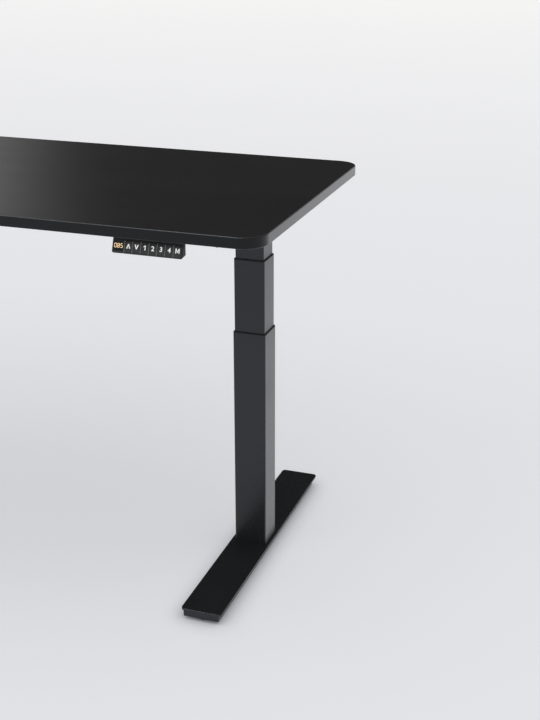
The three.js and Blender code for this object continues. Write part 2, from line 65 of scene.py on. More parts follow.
MM = 0.001
FIT = 0.3 * MM                # gap between two pieces that touch
TOP_CORNER = 50 * MM          # desktop's corners
TOP_ARRIS = 1.5 * MM
BAND = 2 * MM                 # edge band's thickness
TUBE_WALL = 1.5 * MM
TUBE_CORNER = 3 * MM
FOOT_CORNER = 9 * MM
HANDSET_TILT = math.radians(20.4)
HANDSET_DEPTH = 20 * MM       # front edge of the desktop to the handset's back
HANDSET_ROUND = 1.6 * MM
HANDSET_END_ROUND = 3.6 * MM  # its two lower ends
KEY_GAP = 0.3 * MM            # key to its pocket
KEY_TRAVEL = 0.7 * MM
KEY_LOW = 2.7 * MM            # a key's lower end, up the sloping face
KEY_HIGH = 25.5 * MM
MARK_MIDDLE = 15.2 * MM       # the printed marks' middle, up the sloping face
GLYPH_HEIGHT = 9.3 * MM
PRINT = 0.03 * MM             # thickness of printed ink
BUMP_DEPTH = 0.1 * MM         # how deep a surface's grain may look
MOTOR_LEAD = 3 * MM
HANDSET_LEAD = 2.2 * MM
WELD = 0.002 * MM             # corners closer than this are one corner

FOOT_BOLT_X = 22 * MM         # bolts under the foot, from the leg's axis
FOOT_BOLT_Y = 24 * MM
CASE_SCREW_X = 26 * MM        # screws under the gearbox, from the leg's axis
ARM_SCREW_X = 20 * MM         # screws in the arm, from the leg's axis
ARM_SCREW_Y = (130 * MM, 210 * MM, 290 * MM)
ARM_STEEL = 3 * MM
RAIL_BOLT_X = 3 * MM          # bolt heads, in from a rail's end
RAIL_BOLT_Y = 21.5 * MM       # bolts beside a rail's tube, from its middle
RAIL_BOLT_Z = 20 * MM
BOX_SCREW_INSET = 9 * MM
MOTOR_SCREW_RING = 19 * MM

DOWN = (0, 0, -1)
SIDES = {"left": 1, "right": -1}   # towards the desk's middle, along X
KEYS = ["key_up", "key_down", "key_1", "key_2", "key_3", "key_4", "key_m"]

top_low, top_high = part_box("desktop")
underside = top_low.z


def middle(node):
    low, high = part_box(node)
    return (low + high) / 2


leg_x = {side: middle(f"{side}_foot_plate").x for side in SIDES}

# ---------------------------------------------------------------- nodes


def give(tree, node, values):
    """Fills a node's inputs; a value is a number, a colour or another node's output."""
    for key, value in values.items():
        if isinstance(value, bpy.types.NodeSocket):
            tree.links.new(value, node.inputs[key])
        else:
            node.inputs[key].default_value = value


def put(tree, kind, values=None, **settings):
    node = tree.nodes.new(kind)
    for name, value in settings.items():
        setattr(node, name, value)
    give(tree, node, values or {})
    return node


def math_of(tree, operation, *values):
    return put(tree, "ShaderNodeMath", dict(enumerate(values)), operation=operation).outputs[0]


def socket_form(value):
    """The kind of socket that a first value needs; a word is the kind's own name."""
    if isinstance(value, str):
        return value
    if isinstance(value, tuple):
        return {3: "Vector", 4: "Color"}[len(value)]
    return {int: "Int", float: "Float"}[type(value)]


def new_group(kind, name, inputs, outputs):
    group = bpy.data.node_groups.new(name, kind)
    for side, sockets in (("INPUT", inputs), ("OUTPUT", outputs)):
        for label, value in sockets.items():
            form = f"NodeSocket{socket_form(value)}"
            socket = group.interface.new_socket(label, in_out=side, socket_type=form)
            if not isinstance(value, str):
                socket.default_value = value
    return group, put(group, "NodeGroupInput").outputs


def effect_group(name, inputs, outputs):
    return new_group("ShaderNodeTree", name, inputs, outputs)


def shape_group(name, inputs):
    """A Geometry Nodes tree that makes one mesh in one finish."""
    return new_group("GeometryNodeTree", name, {**inputs, "Finish": "Material"}, {"Geometry": "Geometry"})


def put_out(group, outputs):
    put(group, "NodeGroupOutput", outputs)
    return group


# ---------------------------------------------------------------- effects shared by materials


def spots(tree, scale, detail=2.0, roughness=0.5, where=None):
    """Noise over the object's own coordinates."""
    place = where or put(tree, "ShaderNodeTexCoord").outputs["Object"]
    values = {"Vector": place, "Scale": scale, "Detail": detail, "Roughness": roughness}
    return put(tree, "ShaderNodeTexNoise", values).outputs["Fac"]


def ranged(tree, value, low, high, to_low=0.0, to_high=1.0, **settings):
    values = {"Value": value, "From Min": low, "From Max": high, "To Min": to_low, "To Max": to_high}
    return put(tree, "ShaderNodeMapRange", values, **settings).outputs["Result"]


def tinted(tree, mask, base, other):
    """One colour turned into another where a mask says so. Its colours are sockets 6 and 7."""
    values = {"Factor": mask, 6: base, 7: other}
    return put(tree, "ShaderNodeMix", values, data_type="RGBA").outputs[2]


def bumped(tree, height, strength):
    values = {"Height": height, "Strength": strength, "Distance": BUMP_DEPTH}
    return put(tree, "ShaderNodeBump", values).outputs["Normal"]


def coat_grain():
    """Baked powder coat: a fine orange peel, a faint cloudiness and lighter specks."""
    group, given = effect_group(
        "powder_coat_grain",
        {
            "Colour": (0.01, 0.01, 0.01, 1),
            "Speck colour": (0.03, 0.03, 0.03, 1),
            "Grain per metre": 1400.0,
            "Grain depth": 0.2,
            "Gloss low": 0.36,
            "Gloss high": 0.46,
        },
        {"Colour": "Color", "Roughness": "Float", "Normal": "Vector"},
    )
    peel = spots(group, given["Grain per metre"], 3.0)
    coarse = spots(group, math_of(group, "MULTIPLY", given["Grain per metre"], 0.35), 1.0)
    height = math_of(group, "MULTIPLY_ADD", coarse, 1.2, peel)
    cloud = spots(group, 9.0, 3.0)
    place = put(group, "ShaderNodeTexCoord").outputs["Object"]
    speck_size = math_of(group, "MULTIPLY", given["Grain per metre"], 0.8)
    cells = put(group, "ShaderNodeTexVoronoi", {"Vector": place, "Scale": speck_size}).outputs["Distance"]
    specks = ranged(group, cells, 0.22, 0.08)
    mask = math_of(group, "MULTIPLY", specks, ranged(group, cloud, 0.35, 0.65, 0.3, 0.8))
    normal = bumped(group, height, given["Grain depth"])
    colour = tinted(group, mask, given["Colour"], given["Speck colour"])
    gloss = ranged(group, cloud, 0.3, 0.7, given["Gloss low"], given["Gloss high"])
    return put_out(group, {"Colour": colour, "Roughness": gloss, "Normal": normal})


def mould_grain():
    """The spark-eroded grain of moulded plastic, with polished high spots."""
    group, given = effect_group(
        "moulded_grain",
        {
            "Colour": (0.01, 0.01, 0.01, 1),
            "Worn colour": (0.02, 0.02, 0.02, 1),
            "Grain per metre": 2600.0,
            "Grain depth": 0.3,
            "Gloss low": 0.42,
            "Gloss high": 0.6,
        },
        {"Colour": "Color", "Roughness": "Float", "Normal": "Vector"},
    )
    place = put(group, "ShaderNodeTexCoord").outputs["Object"]
    values = {"Vector": place, "Scale": given["Grain per metre"], "Randomness": 1.0}
    pits = put(group, "ShaderNodeTexVoronoi", values, feature="SMOOTH_F1").outputs["Distance"]
    fine = spots(group, math_of(group, "MULTIPLY", given["Grain per metre"], 2.0), 2.0)
    height = math_of(group, "MULTIPLY_ADD", fine, 0.5, pits)
    flow = spots(group, 22.0, 4.0)
    normal = bumped(group, height, given["Grain depth"])
    colour = tinted(group, ranged(group, flow, 0.45, 0.75), given["Colour"], given["Worn colour"])
    gloss = ranged(group, pits, 0.1, 0.6, given["Gloss low"], given["Gloss high"])
    return put_out(group, {"Colour": colour, "Roughness": gloss, "Normal": normal})


def edge_rub():
    """Where corners are rubbed: a broken mask along every edge."""
    group, given = effect_group(
        "rubbed_edges",
        {"Width": 0.0008, "Amount": 0.5},
        {"Mask": "Float"},
    )
    soft = put(group, "ShaderNodeBevel", {"Radius": given["Width"]}, samples=4).outputs["Normal"]
    face = put(group, "ShaderNodeNewGeometry").outputs["Normal"]
    dot = put(group, "ShaderNodeVectorMath", {0: soft, 1: face}, operation="DOT_PRODUCT").outputs["Value"]
    edge = ranged(group, dot, 0.99, 0.8)
    broken = ranged(group, spots(group, 160.0, 4.0, 0.7), 0.4, 0.62, 0.15, 1.0)
    mask = math_of(group, "MULTIPLY", math_of(group, "MULTIPLY", edge, broken), given["Amount"])
    return put_out(group, {"Mask": mask})


def settled_dust():
    """A thin film of dust on what faces up."""
    group, given = effect_group(
        "settled_dust",
        {"Amount": 0.1, "Patch per metre": 14.0},
        {"Mask": "Float"},
    )
    face = put(group, "ShaderNodeNewGeometry").outputs["Normal"]
    up = ranged(group, put(group, "ShaderNodeSeparateXYZ", {0: face}).outputs["Z"], 0.6, 1.0)
    patches = ranged(group, spots(group, given["Patch per metre"], 5.0, 0.65), 0.35, 0.75)
    motes = ranged(group, spots(group, 900.0, 1.0), 0.62, 0.74)
    film = math_of(group, "MULTIPLY_ADD", motes, 0.6, patches)
    mask = math_of(group, "MULTIPLY", math_of(group, "MULTIPLY", up, film), given["Amount"])
    return put_out(group, {"Mask": mask})


def wiped_gloss():
    """Gloss that changes slowly, as on a surface wiped by hand."""
    group, given = effect_group(
        "wiped_gloss",
        {"Low": 0.3, "High": 0.4, "Swirl per metre": 3.0},
        {"Roughness": "Float"},
    )
    place = put(group, "ShaderNodeTexCoord").outputs["Object"]
    stretched = put(group, "ShaderNodeMapping", {"Vector": place, "Scale": (1.0, 2.6, 1.0)}).outputs[0]
    swirl = spots(group, given["Swirl per metre"], 6.0, 0.6, stretched)
    return put_out(group, {"Roughness": ranged(group, swirl, 0.3, 0.7, given["Low"], given["High"])})


def turned_marks():
    """The fine rings that a tool leaves on bare metal, across the Z axis."""
    group, given = effect_group(
        "turned_marks",
        {"Colour": (0.4, 0.4, 0.4, 1), "Dark colour": (0.2, 0.2, 0.2, 1)},
        {"Colour": "Color", "Roughness": "Float", "Normal": "Vector"},
    )
    place = put(group, "ShaderNodeTexCoord").outputs["Object"]
    stretched = put(group, "ShaderNodeMapping", {"Vector": place, "Scale": (0.02, 0.02, 1.0)}).outputs[0]
    rings = spots(group, 2500.0, 3.0, 0.6, stretched)
    stain = spots(group, 60.0, 4.0)
    colour = tinted(group, ranged(group, stain, 0.4, 0.7), given["Colour"], given["Dark colour"])
    gloss = ranged(group, rings, 0.3, 0.7, 0.25, 0.4)
    return put_out(group, {"Colour": colour, "Roughness": gloss, "Normal": bumped(group, rings, 0.2)})


COAT, MOULD, RUB = coat_grain(), mould_grain(), edge_rub()
DUST, WIPED, TURNED = settled_dust(), wiped_gloss(), turned_marks()

# ---------------------------------------------------------------- materials


def placed_group(tree, group, values=None):
    return put(tree, "ShaderNodeGroup", values, node_tree=group).outputs


def blank(name):
    material = bpy.data.materials.new(name)
    material.use_nodes = True
    tree = material.node_tree
    tree.nodes.clear()
    surface = put(tree, "ShaderNodeBsdfPrincipled")
    put(tree, "ShaderNodeOutputMaterial", {"Surface": surface.outputs["BSDF"]})
    return material, tree, surface


def join_to(tree, surface, **sockets):
    """Fills the shader's own inputs, named with _ for each space."""
    give(tree, surface, {name.replace("_", " "): value for name, value in sockets.items()})


def grey(value, warmth=0.0):
    """A near-grey colour; warmth above 0 leans to red and below 0 to blue."""
    return (value * (1 + warmth), value, value * (1 - warmth), 1)


DUST_COLOUR = (0.16, 0.155, 0.15, 1)
COOL_GLINT = (0.9, 0.94, 1.0, 1)     # the faint blue of light off black paint


def worn_finish(name, skin, given, rubbed_width, rub, rub_tone, dust, **extra):
    """One skin, lighter where its edges are rubbed and where dust lies on it."""
    material, tree, surface = blank(name)
    coat = placed_group(tree, skin, given)
    rubbed = placed_group(tree, RUB, {"Width": rubbed_width, "Amount": rub})["Mask"]
    dusty = placed_group(tree, DUST, {"Amount": dust})["Mask"]
    colour = tinted(tree, rubbed, coat["Colour"], grey(rub_tone))
    colour = tinted(tree, dusty, colour, DUST_COLOUR)
    join_to(tree, surface, Base_Color=colour, Roughness=coat["Roughness"], Normal=coat["Normal"], **extra)
    return material


def painted_steel(name, tone, grain=1400.0, gloss=(0.36, 0.46), rub=0.35, dust=0.04, haze=0.0):
    """Powder coat; haze is how much lighter it turns when seen along its surface."""
    given = {
        "Colour": grey(tone, -0.05),
        "Speck colour": grey(tone * 2.6, -0.05),
        "Grain per metre": grain,
        "Gloss low": gloss[0],
        "Gloss high": gloss[1],
    }
    sheen = {"Sheen_Weight": haze, "Sheen_Roughness": 0.42, "Specular_Tint": COOL_GLINT}
    return worn_finish(name, COAT, given, 0.7 * MM, rub, 0.06, dust, **sheen)


def moulded_plastic(name, tone, grain=2600.0, depth=0.3, gloss=(0.42, 0.6), rub=0.3, dust=0.03):
    given = {
        "Colour": grey(tone, -0.03),
        "Worn colour": grey(tone * 1.5, -0.03),
        "Grain per metre": grain,
        "Grain depth": depth,
        "Gloss low": gloss[0],
        "Gloss high": gloss[1],
    }
    return worn_finish(name, MOULD, given, 0.4 * MM, rub, 0.05, dust)


def pressed_laminate():
    """Black melamine: a tight matt pore, wiped by hand, with a trace of dust."""
    material, tree, surface = blank("black_laminate")
    pores = spots(tree, 1900.0, 2.0)
    waves = spots(tree, 420.0, 2.0)
    height = math_of(tree, "MULTIPLY_ADD", waves, 0.5, pores)
    wiped = placed_group(tree, WIPED, {"Low": 0.22, "High": 0.28})["Roughness"]
    cloud = ranged(tree, spots(tree, 5.0, 4.0), 0.35, 0.7)
    dusty = placed_group(tree, DUST, {"Amount": 0.025, "Patch per metre": 6.0})["Mask"]
    colour = tinted(tree, cloud, grey(0.0065, 0.04), grey(0.0085, 0.04))
    colour = tinted(tree, dusty, colour, DUST_COLOUR)
    join_to(tree, surface, Base_Color=colour, Roughness=wiped, Normal=bumped(tree, height, 0.12))
    return material


def edge_banding():
    """The band's plastic, drawn along the edge in fine lines."""
    material, tree, surface = blank("black_edge_band")
    place = put(tree, "ShaderNodeTexCoord").outputs["Object"]
    drawn = put(tree, "ShaderNodeMapping", {"Vector": place, "Scale": (0.03, 0.03, 1.0)}).outputs[0]
    lines = spots(tree, 1500.0, 3.0, 0.6, drawn)
    pores = spots(tree, 1700.0, 2.0)
    height = math_of(tree, "MULTIPLY_ADD", lines, 0.6, pores)
    rubbed = placed_group(tree, RUB, {"Width": 0.0012, "Amount": 0.25})["Mask"]
    colour = tinted(tree, lines, grey(0.004, -0.06), grey(0.006, -0.06))
    colour = tinted(tree, rubbed, colour, grey(0.05))
    gloss = ranged(tree, lines, 0.3, 0.7, 0.18, 0.25)
    join_to(tree, surface, IOR=1.31, Specular_Tint=COOL_GLINT, Sheen_Weight=0.8, Sheen_Roughness=0.4)
    join_to(tree, surface, Base_Color=colour, Roughness=gloss, Normal=bumped(tree, height, 0.1))
    return material


def smoked_window():
    material, tree, surface = blank("smoked_window")
    smear = placed_group(tree, WIPED, {"Low": 0.06, "High": 0.2, "Swirl per metre": 60.0})["Roughness"]
    dusty = placed_group(tree, DUST, {"Amount": 0.03, "Patch per metre": 60.0})["Mask"]
    cloud = tinted(tree, spots(tree, 80.0, 3.0), grey(0.004), grey(0.007))
    join_to(tree, surface, Base_Color=tinted(tree, dusty, cloud, DUST_COLOUR), Roughness=smear)
    return material


def bare_metal(name, bright, dark):
    material, tree, surface = blank(name)
    marks = placed_group(tree, TURNED, {"Colour": bright, "Dark colour": dark})
    join_to(tree, surface, Base_Color=marks["Colour"], Roughness=marks["Roughness"], Normal=marks["Normal"])
    join_to(tree, surface, Metallic=1.0)
    return material


def board_green():
    material, tree, surface = blank("circuit_board")
    place = put(tree, "ShaderNodeTexCoord").outputs["Object"]
    tracks = put(tree, "ShaderNodeTexBrick", {"Vector": place, "Scale": 220.0, "Mortar Size": 0.06})
    path = ranged(tree, tracks.outputs["Fac"], 0.2, 0.8)
    colour = tinted(tree, path, (0.008, 0.05, 0.02, 1), (0.02, 0.11, 0.04, 1))
    gloss = ranged(tree, spots(tree, 300.0), 0.3, 0.7, 0.3, 0.42)
    join_to(tree, surface, Base_Color=colour, Roughness=gloss, Normal=bumped(tree, path, 0.2))
    return material


def printed(name, ink, worn, glow=0.0):
    """Ink printed on plastic, a little thin in places; glow is painted light, an emission that brightens the
    ink beyond what the lamps give it.
    """
    material, tree, surface = blank(name)
    thin = ranged(tree, spots(tree, 1500.0, 3.0), 0.45, 0.75, 0.0, 0.5)
    gloss = ranged(tree, spots(tree, 500.0), 0.3, 0.7, 0.4, 0.55)
    colour = tinted(tree, thin, ink, worn)
    join_to(tree, surface, Base_Color=colour, Emission_Color=colour, Emission_Strength=glow, Roughness=gloss)
    return material


def lit_digits():
    """The display's lit segments: warm light, stronger in random spots."""
    material, tree, surface = blank("lit_digits")
    glow = ranged(tree, spots(tree, 700.0, 1.0), 0.3, 0.7)
    colour = tinted(tree, glow, (0.86, 0.60, 0.30, 1), (1.0, 0.76, 0.44, 1))
    gloss = ranged(tree, glow, 0.0, 1.0, 0.35, 0.5)
    join_to(tree, surface, Base_Color=colour, Emission_Color=colour, Emission_Strength=0.9, Roughness=gloss)
    return material


FINISH = {
    "desktop_laminate": pressed_laminate(),
    "column_steel": painted_steel("column_powder_coat", 0.009, gloss=(0.26, 0.34), haze=0.6),
    "foot_steel": painted_steel("foot_powder_coat", 0.015, gloss=(0.24, 0.3), dust=0.01),
    "frame_steel": painted_steel("frame_powder_coat", 0.012, grain=1200.0, dust=0.06),
    "motor_steel": painted_steel("motor_enamel", 0.010, grain=700.0, gloss=(0.28, 0.4)),
    "collar_plastic": moulded_plastic("collar_plastic", 0.006, gloss=(0.55, 0.7), dust=0.0),
    "head_plastic": moulded_plastic("gearbox_plastic", 0.012, grain=1500.0, depth=0.4),
    "leveller_plastic": moulded_plastic("levelling_foot_plastic", 0.010, gloss=(0.5, 0.65)),
    "box_plastic": moulded_plastic("control_box_plastic", 0.012, grain=1300.0, depth=0.45),
    "handset_plastic": moulded_plastic("handset_plastic", 0.011, grain=3000.0),
    "key_plastic": moulded_plastic("key_plastic", 0.010, grain=3400.0, depth=0.22, gloss=(0.4, 0.52)),
    "gloss_plastic": smoked_window(),
    "plain_steel": bare_metal("zinc_plated_steel", (0.52, 0.53, 0.54, 1), (0.32, 0.33, 0.34, 1)),
    "bronze": bare_metal("bronze", (0.55, 0.36, 0.14, 1), (0.32, 0.2, 0.08, 1)),
    "circuit_board": board_green(),
    "lead_sheath": moulded_plastic("lead_sheath", 0.009, grain=1800.0, depth=0.25, rub=0.0),
}
EDGE_BAND = edge_banding()
BLACK_SCREW = painted_steel("blackened_screw", 0.014, grain=2600.0, gloss=(0.28, 0.38), rub=0.8)
# The white print glows: painted light that stands in for light the ink lacks under the desktop's edge.
WHITE_INK_PAINTED_GLOW = printed("white_key_print_painted_glow", grey(0.82), grey(0.7), 0.42)
GREY_INK = printed("grey_line_print", grey(0.34), grey(0.24))
LIT = lit_digits()

# ---------------------------------------------------------------- pieces


def linked(name, data):
    piece = bpy.data.objects.new(name, data)
    bpy.context.scene.collection.objects.link(piece)
    return piece


def plain(piece):
    """Keeps what the piece's modifiers or curve make, as one plain mesh."""
    depsgraph = bpy.context.evaluated_depsgraph_get()
    mesh = bpy.data.meshes.new_from_object(piece.evaluated_get(depsgraph))
    name = piece.name
    bpy.data.objects.remove(piece)
    made = linked(name, mesh)
    mesh.name = name
    return made


def shaded(piece, angle=40):
    """Smooth round edges, with flat faces kept flat."""
    piece.data.shade_smooth()
    piece.data.set_sharp_from_angle(angle=math.radians(angle))
    weighted = piece.modifiers.new("flat_faces", "WEIGHTED_NORMAL")
    weighted.keep_sharp = True
    return plain(piece)


def with_mesh(name, bm, finish):
    mesh = bpy.data.meshes.new(name)
    bmesh.ops.recalc_face_normals(bm, faces=bm.faces)
    bm.to_mesh(mesh)
    bm.free()
    mesh.materials.append(finish)
    return linked(name, mesh)


def fitted(piece, body, nodes=()):
    """Hangs a finished piece on its body, for the CAD nodes that it stands for."""
    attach(piece, body)
    if nodes:
        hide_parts(*nodes)
    return piece


def bevelled(piece, width, steps=2, angle=30):
    rounding = piece.modifiers.new("rounding", "BEVEL")
    rounding.width = width
    rounding.segments = steps
    rounding.limit_method = "ANGLE"
    rounding.angle_limit = math.radians(angle)
    return plain(piece)


def eased(node, slot, width, steps=2):
    """A CAD node's own shape with its edges rounded."""
    bm = bmesh.new()
    bm.from_mesh(frame["nodes"][node].data)
    bmesh.ops.remove_doubles(bm, verts=bm.verts, dist=WELD)
    bmesh.ops.dissolve_limit(bm, angle_limit=math.radians(0.5), verts=bm.verts, edges=bm.edges)
    piece = with_mesh(f"{node}_finished", bm, FINISH[slot])
    piece = shaded(bevelled(piece, width, steps))
    return fitted(piece, frame["nodes"][node]["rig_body"], [node])


def rounded_outline(width, depth, radius, steps):
    """Points round a rectangle with round corners, centred on the origin."""
    points = []
    for quarter, (sx, sy) in enumerate(((1, 1), (-1, 1), (-1, -1), (1, -1))):
        centre = (sx * (width / 2 - radius), sy * (depth / 2 - radius))
        for k in range(steps + 1):
            turn = math.radians(90 * (quarter + k / steps))
            points.append((centre[0] + radius * math.cos(turn), centre[1] + radius * math.sin(turn)))
    return points


def slab(name, low, high, corner, arris, finish, corner_steps=16, arris_steps=4):
    """A flat plate with round corners and a round arris above and below."""
    size, centre = high - low, (low + high) / 2
    levels = []
    for k in range(arris_steps + 1):
        turn = math.radians(90 * k / arris_steps)
        levels.append((arris * (1 - math.sin(turn)), low.z + arris * (1 - math.cos(turn))))
    levels += [(inset, low.z + high.z - z) for inset, z in reversed(levels)]
    bm = bmesh.new()
    rings = []
    for inset, z in levels:
        outline = rounded_outline(size.x - 2 * inset, size.y - 2 * inset, corner - inset, corner_steps)
        rings.append([bm.verts.new((x + centre.x, y + centre.y, z)) for x, y in outline])
    for below, above in zip(rings, rings[1:]):
        for k, corner_vertex in enumerate(below):
            following = (k + 1) % len(below)
            bm.faces.new((corner_vertex, below[following], above[following], above[k]))
    bm.faces.new(list(reversed(rings[0])))
    bm.faces.new(rings[-1])
    bmesh.ops.remove_doubles(bm, verts=bm.verts, dist=WELD)
    return shaded(with_mesh(name, bm, finish))


def soft_corners(profile, radius, steps=3):
    """A profile with each inner corner rounded, as far as its two sides allow."""
    points = [Vector(p) for p in profile]
    eased_points = [points[0]]
    for before, corner, after in zip(points, points[1:], points[2:]):
        reach = min(radius, (corner - before).length / 2.2, (after - corner).length / 2.2)
        start = corner + (before - corner).normalized() * reach
        end = corner + (after - corner).normalized() * reach
        for k in range(steps + 1):
            share = k / steps
            bend = start.lerp(corner, share).lerp(corner.lerp(end, share), share)
            eased_points.append(bend)
    return eased_points + [points[-1]]


def lathed(name, profile, place, finish, steps=56):
    """A turned piece. Its profile is radius and height, from the axis below to the axis above."""
    bm = bmesh.new()
    rings = []
    for radius, height in profile:
        count = 1 if radius < WELD else steps
        turns = [2 * math.pi * k / count for k in range(count)]
        ring = [place @ Vector((radius * math.cos(t), radius * math.sin(t), height)) for t in turns]
        rings.append([bm.verts.new(point) for point in ring])
    for below, above in zip(rings, rings[1:]):
        for k in range(steps):
            following = (k + 1) % steps
            corners = [below[k % len(below)], below[following % len(below)]]
            corners += [above[following % len(above)], above[k % len(above)]]
            bm.faces.new(list(dict.fromkeys(corners)))
    return shaded(with_mesh(name, bm, finish))


def box_between(name, low, high, finish, place):
    bm = bmesh.new()
    size = [b - a for a, b in zip(low, high)]
    centre = [(a + b) / 2 for a, b in zip(low, high)]
    spread = place @ Matrix.Translation(centre) @ Matrix.Diagonal((*size, 1))
    bmesh.ops.create_cube(bm, size=1, matrix=spread)
    return with_mesh(name, bm, finish)


def block(name, low, high, radius, finish, steps=3):
    return shaded(bevelled(box_between(name, low, high, finish, Matrix.Identity(4)), radius, steps))


# ---------------------------------------------------------------- Geometry Nodes


def grown(name, tree, values, points=()):
    """What a Geometry Nodes tree makes, as a plain mesh. Points are places with a facing direction."""
    mesh = bpy.data.meshes.new(name)
    mesh.from_pydata([place for place, _ in points], [], [])
    if points:
        facing = mesh.attributes.new("facing", "FLOAT_VECTOR", "POINT")
        facing.data.foreach_set("vector", [x for _, way in points for x in way])
    piece = linked(name, mesh)
    modifier = piece.modifiers.new(name, "NODES")
    modifier.node_group = tree
    for item in tree.interface.items_tree:
        if item.in_out == "INPUT" and item.name in values:
            modifier[item.identifier] = values[item.name]
    return shaded(plain(piece))


def curve_fillet(tree, curve, radius, steps):
    values = {"Curve": curve, "Radius": radius, "Count": steps}
    node = put(tree, "GeometryNodeFilletCurve", values, mode="POLY")
    return node.outputs["Curve"]


def oblong(tree, width, height):
    node = put(tree, "GeometryNodeCurvePrimitiveQuadrilateral", {"Width": width, "Height": height})
    return node.outputs["Curve"]


def swept(tree, path, section, caps=False):
    values = {"Curve": path, "Profile Curve": section, "Fill Caps": caps}
    return put(tree, "GeometryNodeCurveToMesh", values).outputs["Mesh"]


def prism(tree, section, low, high):
    """A straight bar with closed ends, from one height to another."""
    ends = [put(tree, "ShaderNodeCombineXYZ", {"Z": z}).outputs[0] for z in (low, high)]
    line = put(tree, "GeometryNodeCurvePrimitiveLine", {"Start": ends[0], "End": ends[1]}).outputs["Curve"]
    return swept(tree, line, section, True)


def shifted(tree, geometry, move=(0, 0, 0), turn=(0, 0, 0)):
    values = {"Geometry": geometry, "Translation": move, "Rotation": turn}
    return put(tree, "GeometryNodeTransform", values).outputs["Geometry"]


def end_tree(tree, geometry, finish):
    real = put(tree, "GeometryNodeRealizeInstances", {"Geometry": geometry}).outputs["Geometry"]
    coated = put(tree, "GeometryNodeSetMaterial", {"Geometry": real, "Material": finish}).outputs["Geometry"]
    return put_out(tree, {"Geometry": coated})


def on_points(tree, points, instance, way=None, **turning):
    """One copy on each point, turned to face a given way or the point's own."""
    if way is None:
        named = {"Name": "facing"}
        own = put(tree, "GeometryNodeInputNamedAttribute", named, data_type="FLOAT_VECTOR")
        way = own.outputs["Attribute"]
    turn = put(tree, "FunctionNodeAlignRotationToVector", {"Vector": way}, **turning)
    values = {"Points": points, "Instance": instance, "Rotation": turn.outputs["Rotation"]}
    return put(tree, "GeometryNodeInstanceOnPoints", values).outputs["Instances"]


UPRIGHT = {"axis": "X", "pivot_axis": "Z"}   # turned about Z alone


def ring_tree():
    """A rectangular ring with round corners: a column tube, a collar or the desktop's edge band."""
    tree, given = shape_group(
        "rectangular_ring",
        {
            "Width": 0.06,
            "Depth": 0.06,
            "Corner radius": 0.003,
            "Corner steps": 6,
            "Wall": 0.0015,
            "Height": 0.1,
            "Outer round": 0.0003,
            "Inner round": 0.0003,
            "Round steps": 3,
            "Place": (0, 0, 0),
        },
    )
    width = math_of(tree, "SUBTRACT", given["Width"], given["Wall"])
    depth = math_of(tree, "SUBTRACT", given["Depth"], given["Wall"])
    half_wall = math_of(tree, "MULTIPLY", given["Wall"], 0.5)
    radius = math_of(tree, "SUBTRACT", given["Corner radius"], half_wall)
    path = curve_fillet(tree, oblong(tree, width, depth), radius, given["Corner steps"])
    path = put(tree, "GeometryNodeSetCurveNormal", {"Curve": path}, mode="Z_UP").outputs["Curve"]
    place = put(tree, "GeometryNodeInputPosition").outputs[0]
    across = put(tree, "ShaderNodeSeparateXYZ", {0: place}).outputs["X"]
    outside = put(tree, "FunctionNodeCompare", {0: across, 1: 0.0}, operation="GREATER_THAN").outputs[0]
    values = {"Switch": outside, "False": given["Inner round"], "True": given["Outer round"]}
    rounding = put(tree, "GeometryNodeSwitch", values, input_type="FLOAT").outputs[0]
    section = curve_fillet(tree, oblong(tree, given["Wall"], given["Height"]), rounding, given["Round steps"])
    ring = shifted(tree, swept(tree, path, section), given["Place"])
    return end_tree(tree, ring, given["Finish"])


def screw_tree():
    """Screw heads standing on points: a domed round head with a recess."""
    tree, given = shape_group(
        "screw_heads",
        {
            "Points": "Geometry",
            "Head radius": 0.005,
            "Head height": 0.003,
            "Recess radius": 0.002,
            "Recess waist": 0.002,
            "Recess points": 3,
            "Recess depth": 0.0015,
        },
    )
    straight = math_of(tree, "MULTIPLY", given["Head height"], 0.62)
    values = {"Vertices": 28, "Radius": given["Head radius"], "Depth": straight}
    head = put(tree, "GeometryNodeMeshCylinder", values)
    mesh, top = head.outputs["Mesh"], head.outputs["Top"]
    for rise, share in ((0.2, 0.95), (0.12, 0.88), (0.06, 0.8)):
        lift = math_of(tree, "MULTIPLY", given["Head height"], rise)
        step = put(tree, "GeometryNodeExtrudeMesh", {"Mesh": mesh, "Selection": top, "Offset Scale": lift})
        top = step.outputs["Top"]
        scaled = {"Geometry": step.outputs["Mesh"], "Selection": top, "Scale": share}
        mesh = put(tree, "GeometryNodeScaleElements", scaled).outputs["Geometry"]
    half = math_of(tree, "MULTIPLY", straight, 0.5)
    mesh = shifted(tree, mesh, put(tree, "ShaderNodeCombineXYZ", {"Z": half}).outputs[0])
    star = put(tree, "GeometryNodeCurveStar", {
        "Points": given["Recess points"],
        "Inner Radius": given["Recess waist"],
        "Outer Radius": given["Recess radius"],
    }).outputs["Curve"]
    floor = math_of(tree, "SUBTRACT", given["Head height"], given["Recess depth"])
    above = math_of(tree, "MULTIPLY", given["Head height"], 1.5)
    socket = prism(tree, star, floor, above)
    cut = {"Mesh 1": mesh, "Mesh 2": socket}
    recessed = put(tree, "GeometryNodeMeshBoolean", cut, operation="DIFFERENCE").outputs["Mesh"]
    heads = on_points(tree, given["Points"], recessed, axis="Z")
    return end_tree(tree, heads, given["Finish"])


